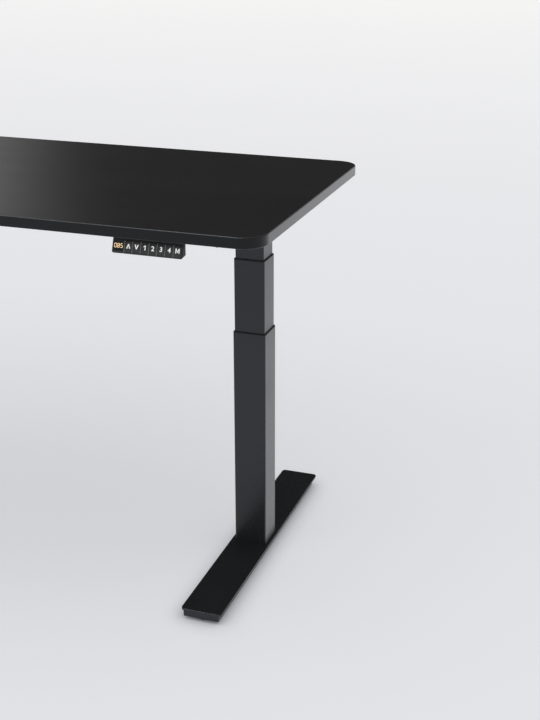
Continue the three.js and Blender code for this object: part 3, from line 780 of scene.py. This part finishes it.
def clip_tree():
    """Cable clips: a pad on the board above and a band round the lead, which runs as each point faces."""
    tree, given = shape_group(
        "cable_clips",
        {
            "Points": "Geometry",
            "Lead radius": 0.003,
            "Drop": 0.005,
            "Pad length": 0.016,
            "Pad width": 0.014,
            "Band width": 0.004,
            "Band thickness": 0.0009,
        },
    )
    loop_radius = math_of(tree, "MULTIPLY_ADD", given["Band thickness"], 0.5, given["Lead radius"])
    loop = put(tree, "GeometryNodeCurvePrimitiveCircle", {"Resolution": 24, "Radius": loop_radius}).outputs[0]
    section = curve_fillet(tree, oblong(tree, given["Band thickness"], given["Band width"]), 0.0003, 2)
    band = swept(tree, loop, section)
    pad = prism(
        tree,
        curve_fillet(tree, oblong(tree, given["Pad length"], given["Pad width"]), 0.002, 4),
        math_of(tree, "MULTIPLY", given["Lead radius"], 0.75),
        given["Drop"],
    )
    latch = prism(tree, curve_fillet(tree, oblong(tree, 0.0052, 0.0045), 0.0006, 2), -0.002, 0.002)
    beside = math_of(tree, "ADD", loop_radius, 0.0016)
    latch = shifted(tree, latch, put(tree, "ShaderNodeCombineXYZ", {"Y": beside}).outputs[0])
    band = shifted(tree, band, turn=(0, math.pi / 2, 0))
    clip = put(tree, "GeometryNodeJoinGeometry").inputs[0]
    for part in (band, pad, latch):
        tree.links.new(part, clip)
    clips = on_points(tree, given["Points"], clip.node.outputs[0], **UPRIGHT)
    return end_tree(tree, clips, given["Finish"])


def rib_tree():
    """Upright grip ribs round a turned pad."""
    tree, given = shape_group(
        "grip_ribs",
        {
            "Centre": (0, 0, 0),
            "Radius": 0.015,
            "Count": 32,
            "Rib width": 0.0014,
            "Low": 0.001,
            "High": 0.005,
        },
    )
    circle = put(tree, "GeometryNodeMeshCircle", {"Vertices": given["Count"], "Radius": given["Radius"]})
    side = curve_fillet(tree, oblong(tree, given["Rib width"], given["Rib width"]), 0.0004, 3)
    rib = prism(tree, side, given["Low"], given["High"])
    place = put(tree, "GeometryNodeInputPosition").outputs[0]
    ribs = on_points(tree, circle.outputs["Mesh"], rib, place, **UPRIGHT)
    return end_tree(tree, shifted(tree, ribs, given["Centre"]), given["Finish"])


def line_tree():
    """A row of thin raised strips, such as the lines between keys."""
    tree, given = shape_group(
        "strip_row",
        {
            "Count": 7,
            "Pitch": 0.01685,
            "Strip width": 0.0005,
            "Strip length": 0.022,
            "Thickness": 0.0001,
        },
    )
    offset = put(tree, "ShaderNodeCombineXYZ", {"X": given["Pitch"]}).outputs[0]
    row = put(tree, "GeometryNodeMeshLine", {"Count": given["Count"], "Offset": offset}).outputs["Mesh"]
    section = curve_fillet(tree, oblong(tree, given["Strip width"], given["Strip length"]), 0.0002, 2)
    strip = prism(tree, section, 0.0, given["Thickness"])
    standing = {"Points": row, "Instance": strip}
    strips = put(tree, "GeometryNodeInstanceOnPoints", standing).outputs["Instances"]
    return end_tree(tree, strips, given["Finish"])


RING, SCREWS, CLIPS, RIBS, STRIPS = ring_tree(), screw_tree(), clip_tree(), rib_tree(), line_tree()


def ring(node, slot, wall, corner, rounds=(0.3 * MM, 0.3 * MM), steps=6):
    """A column tube or collar in the place of its CAD node."""
    low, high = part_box(node)
    piece = grown(f"{node}_finished", RING, {
        "Width": high.x - low.x,
        "Depth": high.y - low.y,
        "Corner radius": corner,
        "Corner steps": steps,
        "Wall": wall,
        "Height": high.z - low.z,
        "Outer round": rounds[0],
        "Inner round": rounds[1],
        "Place": (low + high) / 2,
        "Finish": FINISH[slot],
    })
    return fitted(piece, frame["nodes"][node]["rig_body"], [node])


# Each kind of screw, in shares of its head's radius; the recess is a star with this many points.
SOCKET_HEAD = {"height": 0.62, "recess": 0.5, "waist": 0.5, "points": 3, "depth": 0.4}
CROSS_HEAD = {"height": 0.55, "recess": 0.62, "waist": 0.2, "points": 4, "depth": 0.35}


def screws(name, kind, body, radius, points):
    """Round-headed screws, one at each place, facing the given way."""
    values = {
        "Head radius": radius,
        "Head height": kind["height"] * radius,
        "Recess radius": kind["recess"] * radius,
        "Recess waist": kind["waist"] * radius,
        "Recess points": kind["points"],
        "Recess depth": kind["depth"] * radius,
        "Finish": BLACK_SCREW,
    }
    return fitted(grown(name, SCREWS, values, points), body)


# ---------------------------------------------------------------- desktop


def make_desktop():
    inset = Vector((BAND, BAND, 0))
    board = slab("desktop_board", top_low + inset, top_high - inset, TOP_CORNER - BAND, 0.06 * MM,
                 FINISH["desktop_laminate"], 24, 1)
    fitted(board, "top", ["desktop"])
    band = grown("desktop_edge_band", RING, {
        "Width": top_high.x - top_low.x,
        "Depth": top_high.y - top_low.y,
        "Corner radius": TOP_CORNER,
        "Corner steps": 24,
        "Wall": BAND,
        "Height": top_high.z - top_low.z,
        "Outer round": TOP_ARRIS,
        "Inner round": 0.06 * MM,
        "Round steps": 5,
        "Place": (top_low + top_high) / 2,
        "Finish": EDGE_BAND,
    })
    fitted(band, "top")


# ---------------------------------------------------------------- feet


def make_leveller(side, end):
    """A ribbed pad on the floor, with a round collar and a plain stem above it."""
    node = f"{side}_leveller_{end}"
    low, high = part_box(node)
    pad = (high.x - low.x) / 2
    centre = Vector((middle(node).x, middle(node).y, 0))
    profile = [(0, 0), (pad - 1.2 * MM, 0), (pad - 0.4 * MM, 1 * MM), (pad - 0.4 * MM, 4.6 * MM)]
    profile += [(pad - 3 * MM, 6 * MM), (7 * MM, 6 * MM), (7 * MM, 7.7 * MM), (4 * MM, 7.7 * MM)]
    profile += [(4 * MM, high.z), (0, high.z)]
    place = Matrix.Translation(centre)
    foot = lathed(f"{node}_finished", soft_corners(profile, 0.6 * MM), place, FINISH["leveller_plastic"])
    fitted(foot, node, [node])
    ribs = grown(f"{node}_ribs", RIBS, {
        "Centre": centre,
        "Radius": pad - 0.8 * MM,
        "Count": 36,
        "Rib width": 1.5 * MM,
        "Low": 0.8 * MM,
        "High": 4.9 * MM,
        "Finish": FINISH["leveller_plastic"],
    })
    fitted(ribs, node)


def make_foot(side):
    node = f"{side}_foot_plate"
    plate = slab(f"{node}_finished", *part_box(node), FOOT_CORNER, 0.8 * MM, FINISH["foot_steel"])
    fitted(plate, f"{side}_base", [node])
    eased(f"{side}_foot_channel", "foot_steel", 0.8 * MM)
    for end in ("front", "rear"):
        make_leveller(side, end)
    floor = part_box(f"{side}_foot_channel")[0].z
    corners = [(x, y) for x in (-FOOT_BOLT_X, FOOT_BOLT_X) for y in (-FOOT_BOLT_Y, FOOT_BOLT_Y)]
    bolts = [((leg_x[side] + x, y, floor), DOWN) for x, y in corners]
    screws(f"{side}_foot_bolts", SOCKET_HEAD, f"{side}_base", 6 * MM, bolts)


# ---------------------------------------------------------------- columns


def make_column(side):
    for stage in ("outer", "mid", "inner"):
        ring(f"{side}_{stage}_tube", "column_steel", TUBE_WALL, TUBE_CORNER)
    for stage, inside in (("outer", "mid"), ("mid", "inner")):
        node = f"{side}_{stage}_collar"
        low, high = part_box(node)
        tube_low, tube_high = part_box(f"{side}_{inside}_tube")
        wall = ((high.x - low.x) - (tube_high.x - tube_low.x)) / 2 - FIT
        ring(node, "collar_plastic", wall, TUBE_CORNER, rounds=(0.7 * MM, 0.2 * MM))


def make_motor(side):
    """The motor's can with a rolled seam, a domed end and its end screws."""
    inward = SIDES[side]
    node = f"{side}_motor_can"
    low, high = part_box(node)
    axis = middle(node)
    length = high.x - low.x
    radius = (high.z - low.z) / 2
    near = low.x if inward > 0 else high.x
    place = Matrix.Translation((near, axis.y, axis.z)) @ Matrix.Rotation(inward * math.pi / 2, 4, "Y")
    seam = length - 26 * MM
    profile = [
        (0, 0),
        (12 * MM, 0),
        (12 * MM, 3.2 * MM),
        (radius - 3 * MM, 3.5 * MM),
        (radius, 6.5 * MM),
        (radius, seam - 1.2 * MM),
        (radius - 0.9 * MM, seam - 0.6 * MM),
        (radius - 0.9 * MM, seam + 0.6 * MM),
        (radius, seam + 1.2 * MM),
        (radius, length - 3 * MM),
        (radius - 3 * MM, length),
        (11 * MM, length),
        (10 * MM, length - 1.2 * MM),
        (0, length - 1.2 * MM),
    ]
    can = lathed(f"{node}_finished", soft_corners(profile, 1.2 * MM), place, FINISH["motor_steel"], 72)
    fitted(can, "top", [node])
    end = near + inward * length
    turns = [math.radians(45 + 90 * k) for k in range(4)]
    places = [(MOTOR_SCREW_RING * math.cos(t), MOTOR_SCREW_RING * math.sin(t)) for t in turns]
    heads = [((end, axis.y + y, axis.z + z), (inward, 0, 0)) for y, z in places]
    screws(f"{side}_motor_screws", CROSS_HEAD, "top", 2.6 * MM, heads)


def make_head(side):
    """The gearbox, its cover, the motor and the arm that carries the desktop."""
    x = leg_x[side]
    eased(f"{side}_gearbox_case", "head_plastic", 0.8 * MM, 3)
    eased(f"{side}_gearbox_cover", "head_plastic", 0.5 * MM)
    eased(f"{side}_support_arm", "frame_steel", 0.6 * MM)
    make_motor(side)
    case_low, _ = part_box(f"{side}_gearbox_case")
    under = [((x + dx, case_low.y + 6 * MM, case_low.z), DOWN) for dx in (-CASE_SCREW_X, CASE_SCREW_X)]
    screws(f"{side}_gearbox_screws", CROSS_HEAD, "top", 3 * MM, under)
    web = underside - ARM_STEEL
    rows = [half * y for half in (-1, 1) for y in ARM_SCREW_Y]
    arm = [((x + dx, y, web), DOWN) for y in rows for dx in (-ARM_SCREW_X, ARM_SCREW_X)]
    screws(f"{side}_arm_screws", CROSS_HEAD, "top", 4.6 * MM, arm)


def make_rails():
    for rail in ("front_rail", "rear_rail"):
        eased(rail, "frame_steel", 0.9 * MM)
        low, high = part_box(rail)
        centre = middle(rail)
        bolts = [
            ((end_x + way * RAIL_BOLT_X, centre.y + dy, low.z + RAIL_BOLT_Z), (way, 0, 0))
            for end_x, way in ((low.x, 1), (high.x, -1))
            for dy in (-RAIL_BOLT_Y, RAIL_BOLT_Y)
        ]
        screws(f"{rail}_bolts", SOCKET_HEAD, "top", 4.5 * MM, bolts)


# ---------------------------------------------------------------- control box


def make_control_box():
    eased("control_box_shell", "box_plastic", 1.2 * MM, 3)
    eased("control_box_lid", "box_plastic", 0.7 * MM)
    eased("power_inlet", "gloss_plastic", 0.5 * MM)
    low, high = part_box("control_box_lid")
    columns, rows = [(low[k] + BOX_SCREW_INSET, high[k] - BOX_SCREW_INSET) for k in (0, 1)]
    heads = [((x, y, low.z), DOWN) for x in columns for y in rows]
    screws("control_box_screws", CROSS_HEAD, "top", 3.2 * MM, heads)
    vents = grown("control_box_vents", STRIPS, {
        "Count": 14,
        "Pitch": 6 * MM,
        "Strip width": 3 * MM,
        "Strip length": 46 * MM,
        "Thickness": 0.8 * MM,
        "Finish": FINISH["box_plastic"],
    })
    vents.data.transform(Matrix.Translation((-110 * MM, 0, low.z)) @ Matrix.Rotation(math.pi, 4, "X"))
    fitted(vents, "top")


# ---------------------------------------------------------------- handset

case_low, case_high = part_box("handset_case")
face = Matrix.Translation(case_low) @ Matrix.Rotation(math.pi / 2 - HANDSET_TILT, 4, "X")


def on_face(node):
    """A node's lowest and highest corner in the face's frame: along, up and out of the face."""
    back = face.inverted()
    corners = [back @ v.co for v in frame["nodes"][node].data.vertices]
    low = Vector(min(c[k] for c in corners) for k in range(3))
    high = Vector(max(c[k] for c in corners) for k in range(3))
    return low, high


key_spans = {key: on_face(key) for key in KEYS}
window_low, window_high = on_face("handset_window")


def make_handset_case():
    """A wedge with round ends, cut for its window and keys, and the screw ear behind it."""
    back = top_low.y + HANDSET_DEPTH
    slope = math.tan(HANDSET_TILT)
    profile = [
        (case_low.y, case_low.z),
        (back, case_low.z + 1.8 * MM),
        (back, case_high.z),
        (case_low.y + slope * (case_high.z - case_low.z), case_high.z),
    ]
    bm = bmesh.new()
    ends = [[bm.verts.new((x, y, z)) for y, z in profile] for x in (case_low.x, case_high.x)]
    bm.faces.new(ends[0])
    bm.faces.new(ends[1])
    for k in range(4):
        bm.faces.new((ends[0][k], ends[0][(k + 1) % 4], ends[1][(k + 1) % 4], ends[1][k]))
    lower_ends = [bm.edges.get((end[0], end[1])) for end in ends]
    bmesh.ops.bevel(bm, geom=lower_ends, offset=HANDSET_END_ROUND, segments=6, profile=0.5, affect="EDGES")
    body = bevelled(with_mesh("handset_case_finished", bm, FINISH["handset_plastic"]), HANDSET_ROUND, 5)
    tools = []
    for low, high in [*key_spans.values(), (window_low, window_high)]:
        depth = min(low.z, -2 * MM) - KEY_TRAVEL - FIT
        start = (low.x - KEY_GAP, low.y - KEY_GAP, depth)
        end = (high.x + KEY_GAP, high.y + KEY_GAP, 1 * MM)
        tools.append(box_between("cutter", start, end, FINISH["handset_plastic"], face))
    for tool in tools:
        cutting = body.modifiers.new("pocket", "BOOLEAN")
        cutting.object = tool
        cutting.solver = "EXACT"
    body = shaded(plain(body), 32)
    for tool in tools:
        bpy.data.objects.remove(tool)
    fitted(body, "top", ["handset_case"])
    ear_inset = 20.5 * MM
    ear = block("handset_ear", (case_low.x + ear_inset, back - 1 * MM, case_high.z - 3 * MM),
                (case_high.x - ear_inset, case_high.y, case_high.z), 0.8 * MM, FINISH["handset_plastic"])
    fitted(ear, "top")
    screw_inset = ear_inset + 12 * MM
    columns = (case_low.x + screw_inset, case_high.x - screw_inset)
    holes = [((x, back + 9 * MM, case_high.z - 3 * MM), DOWN) for x in columns]
    screws("handset_screws", CROSS_HEAD, "top", 3.4 * MM, holes)


def flat_mesh(name, shapes, finish, place):
    """Thin raised shapes, each a list of corners, standing PRINT above a plane."""
    bm = bmesh.new()
    for shape in shapes:
        corners = [bm.verts.new((x, y, 0)) for x, y in shape]
        base = bm.faces.new(corners)
        raised = bmesh.ops.extrude_face_region(bm, geom=[base])["geom"]
        lifted = [v for v in raised if isinstance(v, bmesh.types.BMVert)]
        bmesh.ops.translate(bm, verts=lifted, vec=(0, 0, PRINT))
    piece = with_mesh(name, bm, finish)
    piece.data.transform(place)
    return piece


def chevron(way):
    """An arrow head of two strokes; way is 1 for up and -1 for down."""
    half, tall, stroke, tip = 4.3 * MM, 8.8 * MM, 2.5 * MM, 0.9 * MM
    outline = [(-half, 0), (-tip, tall), (tip, tall), (half, 0), (half - stroke, 0)]
    outline += [(0, tall - 2.6 * MM), (stroke - half, 0)]
    return [[(x, way * (y - tall / 2)) for x, y in outline]]


def figure_one():
    """A straight 1 with a slanting flag and no foot."""
    tall, flag, stem_left, stem_right = GLYPH_HEIGHT, -2.4 * MM, 0.1 * MM, 2.1 * MM
    outline = [(stem_left, 0), (stem_right, 0), (stem_right, tall), (0.5 * MM, tall)]
    outline += [(flag, tall - 2 * MM), (flag, tall - 4 * MM), (stem_left, tall - 2.4 * MM)]
    return [[(x, y - tall / 2) for x, y in outline]]


def letter_m():
    """An M whose middle strokes reach nearly to its foot."""
    tall, half, stem, dip = GLYPH_HEIGHT, 4.3 * MM, 1.7 * MM, 1.2 * MM
    right = [(half - stem, 0), (half, 0), (half, tall), (half - 2.2 * MM, tall)]
    left = [(-x, y) for x, y in reversed(right)]
    notch, tip = tall - 3.2 * MM, 0.7 * MM
    inner = [(stem - half, notch), (-tip, dip), (tip, dip), (half - stem, notch)]
    outline = [*inner, *right, (0, tall - 5.6 * MM), *left]
    return [[(x, y - tall / 2) for x, y in outline]]


def letter(name, character, place):
    """A key's printed character."""
    text = bpy.data.curves.new(name, "FONT")
    text.body = character
    text.align_x = "CENTER"
    text.size = 1
    text.extrude = 0.002
    text.offset = 0.022
    text.resolution_u = 6
    piece = plain(linked(name, text))
    heights = [v.co.y for v in piece.data.vertices]
    widths = [v.co.x for v in piece.data.vertices]
    size = GLYPH_HEIGHT / (max(heights) - min(heights))
    centre = Vector(((max(widths) + min(widths)) / 2, (max(heights) + min(heights)) / 2, 0))
    piece.data.transform(place @ Matrix.Scale(size, 4) @ Matrix.Translation(-centre))
    piece.data.materials.clear()
    piece.data.materials.append(WHITE_INK_PAINTED_GLOW)
    return piece


def seven_segments(digit, left, low, width, height, stroke):
    """The lit segments of one digit, each a bar with pointed ends."""
    lit = {"0": "abcdef", "5": "acdfg", "8": "abcdefg"}[digit]
    half, gap = stroke / 2, 0.12 * MM
    x0, x1 = left + half, left + width - half
    y0, y1, y2 = low + half, low + height / 2, low + height - half
    lines = {
        "a": ((x0, y2), (x1, y2)),
        "b": ((x1, y2), (x1, y1)),
        "c": ((x1, y1), (x1, y0)),
        "d": ((x0, y0), (x1, y0)),
        "e": ((x0, y1), (x0, y0)),
        "f": ((x0, y2), (x0, y1)),
        "g": ((x0, y1), (x1, y1)),
    }
    shapes = []
    for name in lit:
        start, end = (Vector(p) for p in lines[name])
        along = (end - start).normalized()
        across = Vector((-along.y, along.x)) * half
        start, end = start + along * gap, end - along * gap
        shapes.append([start, start + along * half - across, end - along * half - across, end,
                       end - along * half + across, start + along * half + across])
    return shapes


def make_handset():
    make_handset_case()
    eased("handset_window", "gloss_plastic", 0.4 * MM)
    for key in KEYS:
        eased(key, "key_plastic", 0.3 * MM)
    drawn = {"key_up": chevron(1), "key_down": chevron(-1), "key_1": figure_one(), "key_m": letter_m()}
    for key in KEYS:
        low, high = key_spans[key]
        place = face @ Matrix.Translation(((low.x + high.x) / 2, MARK_MIDDLE, high.z + 0.01 * MM))
        if key in drawn:
            mark = flat_mesh(f"{key}_mark", drawn[key], WHITE_INK_PAINTED_GLOW, place)
        else:
            mark = letter(f"{key}_mark", key[-1], place)
        fitted(mark, key)
    width, gap, height = 5.0 * MM, 1.4 * MM, 8.4 * MM
    left = (window_low.x + window_high.x) / 2 - 1.5 * width - gap
    shapes = []
    for k, digit in enumerate("085"):
        start = left + k * (width + gap)
        shapes += seven_segments(digit, start, MARK_MIDDLE - height / 2, width, height, 1.0 * MM)
    digits = flat_mesh("display_digits", shapes, LIT, face @ Matrix.Translation((0, 0, 0.02 * MM)))
    fitted(digits, "top")
    pitch = key_spans["key_2"][0].x - key_spans["key_1"][0].x
    first = (key_spans["key_up"][0].x + key_spans["key_up"][1].x) / 2 - pitch / 2
    lines = grown("handset_key_lines", STRIPS, {
        "Count": len(KEYS),
        "Pitch": pitch,
        "Strip width": 0.7 * MM,
        "Strip length": KEY_HIGH - KEY_LOW,
        "Thickness": 0.12 * MM,
        "Finish": GREY_INK,
    })
    lines.data.transform(face @ Matrix.Translation((first, (KEY_LOW + KEY_HIGH) / 2, 0)))
    fitted(lines, "top")


# ---------------------------------------------------------------- leads


def smooth_route(points, share=10):
    """Points along a centripetal Catmull-Rom curve through the given ones."""
    spots_on = [Vector(p) for p in points]
    ends = [2 * spots_on[0] - spots_on[1], *spots_on, 2 * spots_on[-1] - spots_on[-2]]
    route = []
    for p0, p1, p2, p3 in zip(ends, ends[1:], ends[2:], ends[3:]):
        t0 = 0.0
        t1 = t0 + (p1 - p0).length ** 0.5
        t2 = t1 + (p2 - p1).length ** 0.5
        t3 = t2 + (p3 - p2).length ** 0.5
        for k in range(share):
            t = t1 + (t2 - t1) * k / share
            a = p0.lerp(p1, (t - t0) / (t1 - t0))
            b = p1.lerp(p2, (t - t1) / (t2 - t1))
            c = p2.lerp(p3, (t - t2) / (t3 - t2))
            d = a.lerp(b, (t - t0) / (t2 - t0))
            e = b.lerp(c, (t - t1) / (t3 - t1))
            route.append(d.lerp(e, (t - t1) / (t2 - t1)))
    return route + [spots_on[-1]]


def lead(node, route, radius, plug_low, plug_high, clip_places):
    """A round lead with its plug and the clips that hold it."""
    path = smooth_route(route)
    curve = bpy.data.curves.new(f"{node}_finished", "CURVE")
    curve.dimensions = "3D"
    line = curve.splines.new("POLY")
    line.points.add(len(path) - 1)
    for point, place in zip(line.points, path):
        point.co = (*place, 1)
    curve.bevel_depth = radius
    curve.bevel_resolution = 4
    curve.use_fill_caps = True
    sheath = plain(linked(f"{node}_finished", curve))
    sheath.data.materials.clear()
    sheath.data.materials.append(FINISH["lead_sheath"])
    fitted(shaded(sheath), "top", [node])
    fitted(block(f"{node}_plug", plug_low, plug_high, 0.9 * MM, FINISH["lead_sheath"]), "top")
    points = []
    for k in clip_places:
        along = (Vector(route[k + 1]) - Vector(route[k - 1])).normalized()
        points.append((route[k], (along.x, along.y, 0)))
    clips = grown(f"{node}_clips", CLIPS, {
        "Lead radius": radius,
        "Drop": underside - route[clip_places[0]][2],
        "Finish": FINISH["box_plastic"],
    }, points)
    fitted(clips, "top")


PLUG = Vector((10, 12, 8)) * MM


def make_leads():
    box_low, box_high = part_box("control_box_shell")
    plug_z = (box_low.z + box_high.z) / 2
    box_side = box_high.x + FIT
    motor_low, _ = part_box("right_motor_can")
    motor = middle("right_motor_can")
    motor_end = motor_low.x - FIT
    run = motor_end - box_side
    route = [
        (motor_end, motor.y, underside - motor.z),
        (motor_end - 12 * MM, motor.y, underside - motor.z - 0.5 * MM),
        (motor_end - 28 * MM, motor.y, 34 * MM),
        (motor_end - 46 * MM, motor.y, 16 * MM),
        (motor_end - 70 * MM, motor.y, 7 * MM),
        (box_side + 0.66 * run, -28 * MM, 5 * MM),
        (box_side + 0.4 * run, -24 * MM, 5 * MM),
        (box_side + 0.2 * run, -21 * MM, 6.5 * MM),
        (box_side + 30 * MM, -20 * MM, 13 * MM),
        (box_side + 15 * MM, -20 * MM, underside - plug_z),
        (box_side + PLUG.x - 2 * MM, -20 * MM, underside - plug_z),
    ]
    for side, inward in SIDES.items():
        way = -inward
        placed = [(way * x, y, underside - drop) for x, y, drop in route]
        xs = sorted((way * box_side, way * (box_side + PLUG.x)))
        low = (xs[0], -20 * MM - PLUG.y / 2, plug_z - PLUG.z / 2)
        high = (xs[1], -20 * MM + PLUG.y / 2, plug_z + PLUG.z / 2)
        lead(f"{side}_motor_lead", placed, MOTOR_LEAD, low, high, (5, 6))
    box_front = box_low.y - FIT
    start = top_low.y + HANDSET_DEPTH + FIT
    handset_x = (case_low.x + case_high.x) / 2
    route = [
        (handset_x - 3 * MM, start, 14 * MM),
        (handset_x - 3 * MM, start + 8 * MM, 14 * MM),
        (handset_x - 4 * MM, start + 20 * MM, 11.5 * MM),
        (handset_x - 9 * MM, start + 45 * MM, 7 * MM),
        (handset_x - 23 * MM, start + 75 * MM, 4 * MM),
        (400 * MM, -215 * MM, 3.5 * MM),
        (320 * MM, -170 * MM, 3.5 * MM),
        (230 * MM, -132 * MM, 3.5 * MM),
        (150 * MM, -104 * MM, 4 * MM),
        (115 * MM, -88 * MM, 4.5 * MM),
        (100 * MM, -77 * MM, 6.5 * MM),
        (93 * MM, -70 * MM, 12.5 * MM),
        (90.5 * MM, -66 * MM, 17.5 * MM),
        (90 * MM, box_front - PLUG.x + 2 * MM, underside - plug_z),
    ]
    placed = [(x, y, underside - drop) for x, y, drop in route]
    low = (90 * MM - PLUG.y / 2, box_front - PLUG.x, plug_z - PLUG.z / 2)
    high = (90 * MM + PLUG.y / 2, box_front, plug_z + PLUG.z / 2)
    lead("handset_lead", placed, HANDSET_LEAD, low, high, (5, 6, 7))


# ---------------------------------------------------------------- finishes on the CAD nodes left as they are


def paint_kept_nodes():
    for material in frame["record"]["materials"]:
        for node in material.get("nodes", []):
            kept = frame["nodes"][node]
            if not kept.hide_render:
                kept.data.materials.clear()
                kept.data.materials.append(FINISH[material["slot"]])


# ---------------------------------------------------------------- floor, lights and camera


# How bright the floor is at each distance behind the desk, in metres: painted light, brighter farther back.
FLOOR_TONES = [(-0.5, 0.648), (0.8, 0.631), (1.7, 0.652), (3.2, 0.662), (6.9, 0.705), (13.7, 0.75)]
NEAR_TINT = Vector((0.995, 1.0, 1.035))
FAR_TINT = Vector((1.005, 1.0, 0.985))
FLOOR_GLOW = 0.68             # share of the floor's tone that broad shadows don't reach
CONTACT_REACH = 50 * MM       # how far the painted contact shadow under a foot spreads


def floor_tone(tree, away):
    """The floor's grey by its distance behind the desk: painted light, not a change in the floor's own
    colour.
    """
    nearest, farthest = FLOOR_TONES[0][0], FLOOR_TONES[-1][0]
    ramp = put(tree, "ShaderNodeValToRGB", {"Fac": ranged(tree, away, nearest, farthest)})
    stops = ramp.color_ramp.elements
    while len(stops) < len(FLOOR_TONES):
        stops.new(0.5)
    for stop, (distance, tone) in zip(list(stops), FLOOR_TONES):
        share = (distance - nearest) / (farthest - nearest)
        stop.position = share
        stop.color = (*(NEAR_TINT.lerp(FAR_TINT, share) * tone), 1)
    return ramp.outputs["Color"]


def make_floor():
    """A pale floor, lit a little from within so that shadows stay faint; clear from below."""
    bm = bmesh.new()
    bmesh.ops.create_grid(bm, x_segments=1, y_segments=1, size=40)
    material, tree, surface = blank("pale_floor")
    place = put(tree, "ShaderNodeTexCoord").outputs["Object"]
    colour = floor_tone(tree, put(tree, "ShaderNodeSeparateXYZ", {0: place}).outputs["Y"])
    # Ambient occlusion dims the floor's glow near the feet: a painted contact shadow.
    painted_contact_shadow = put(tree, "ShaderNodeAmbientOcclusion", {"Distance": CONTACT_REACH}).outputs["AO"]
    glow = math_of(tree, "MULTIPLY", painted_contact_shadow, FLOOR_GLOW)
    join_to(tree, surface, Specular_IOR_Level=0.0)
    clear = put(tree, "ShaderNodeBsdfTransparent")
    behind = put(tree, "ShaderNodeNewGeometry").outputs["Backfacing"]
    mixed = put(tree, "ShaderNodeMixShader", {0: behind, 1: surface.outputs[0], 2: clear.outputs[0]})
    tree.links.new(mixed.outputs[0], tree.nodes["Material Output"].inputs["Surface"])
    join_to(tree, surface, Base_Color=colour, Emission_Color=colour, Emission_Strength=glow)
    floor = with_mesh("studio_floor", bm, material)


def area_light(name, place, target, size, power):
    """A panel that shows only in gloss, so that it casts no shadow."""
    lamp = bpy.data.lights.new(name, "AREA")
    lamp.shape = "RECTANGLE"
    lamp.size, lamp.size_y = size
    lamp.energy = power
    holder = linked(name, lamp)
    way = Vector(target) - Vector(place)
    holder.location = place
    holder.rotation_euler = way.to_track_quat("-Z", "Y").to_euler()
    holder.visible_camera = False
    holder.visible_diffuse = False


# The pale patch of wall, by how far left of straight back it is.
PATCH_START = (math.radians(27), math.radians(41))
PATCH_END = (math.radians(62), math.radians(82))
PATCH_GLOW = 1.1


def eased_range(tree, *values):
    return ranged(tree, *values, interpolation_type="SMOOTHSTEP")


def make_lights():
    """A soft ceiling that comes down in front, dark walls, a pale patch back left and a box overhead."""
    world = bpy.data.worlds.new("studio")
    bpy.context.scene.world = world
    world.use_nodes = True
    tree = world.node_tree
    tree.nodes.clear()
    way = put(tree, "ShaderNodeTexCoord").outputs["Generated"]
    split = put(tree, "ShaderNodeSeparateXYZ", {0: way}).outputs
    forward = math_of(tree, "MULTIPLY_ADD", split["Y"], -0.35, split["Z"])
    height = math_of(tree, "MULTIPLY_ADD", split["X"], 0.25, forward)
    ceiling = eased_range(tree, height, 0.3, 0.75, 0.055, 0.72)
    leftward = math_of(tree, "ARCTAN2", math_of(tree, "MULTIPLY", split["X"], -1.0), split["Y"])
    patch = eased_range(tree, leftward, *PATCH_START, 0.0, PATCH_GLOW)
    patch = math_of(tree, "MULTIPLY", patch, eased_range(tree, leftward, *PATCH_END, 1.0, 0.0))
    patch = math_of(tree, "MULTIPLY", patch, eased_range(tree, split["Z"], 0.28, 0.5, 1.0, 0.0))
    glow = math_of(tree, "ADD", ceiling, patch)
    sky = put(tree, "ShaderNodeBackground", {"Color": (0.98, 0.985, 1.0, 1), "Strength": glow})
    backdrop = put(tree, "ShaderNodeBackground", {"Color": (0.91, 0.91, 0.91, 1)})
    seen = put(tree, "ShaderNodeLightPath").outputs["Is Camera Ray"]
    mixed = put(tree, "ShaderNodeMixShader", {0: seen, 1: sky.outputs[0], 2: backdrop.outputs[0]})
    put(tree, "ShaderNodeOutputWorld", {"Surface": mixed.outputs[0]})
    area_light("overhead_box", (-0.25, -0.7, 3.0), (0, -0.2, 0.85), (1.5, 3.0), 115)


CAMERA_LENS = 60.18           # on a sensor 36 mm wide
CAMERA_PLACE = (1.4054, -2.3406, 1.4492)
CAMERA_TURN = (68.47, 0, 19.03)


def make_camera():
    camera = bpy.data.cameras.new("camera")
    camera.lens = CAMERA_LENS
    camera.sensor_width = 36
    holder = linked("camera", camera)
    holder.location = CAMERA_PLACE
    holder.rotation_euler = [math.radians(angle) for angle in CAMERA_TURN]
    bpy.context.scene.camera = holder
    bpy.context.scene.view_settings.view_transform = "Standard"


make_camera()
make_desktop()
for side_name in SIDES:
    make_foot(side_name)
    make_column(side_name)
    make_head(side_name)
make_rails()
make_control_box()
make_handset()
make_leads()
paint_kept_nodes()
make_floor()
make_lights()
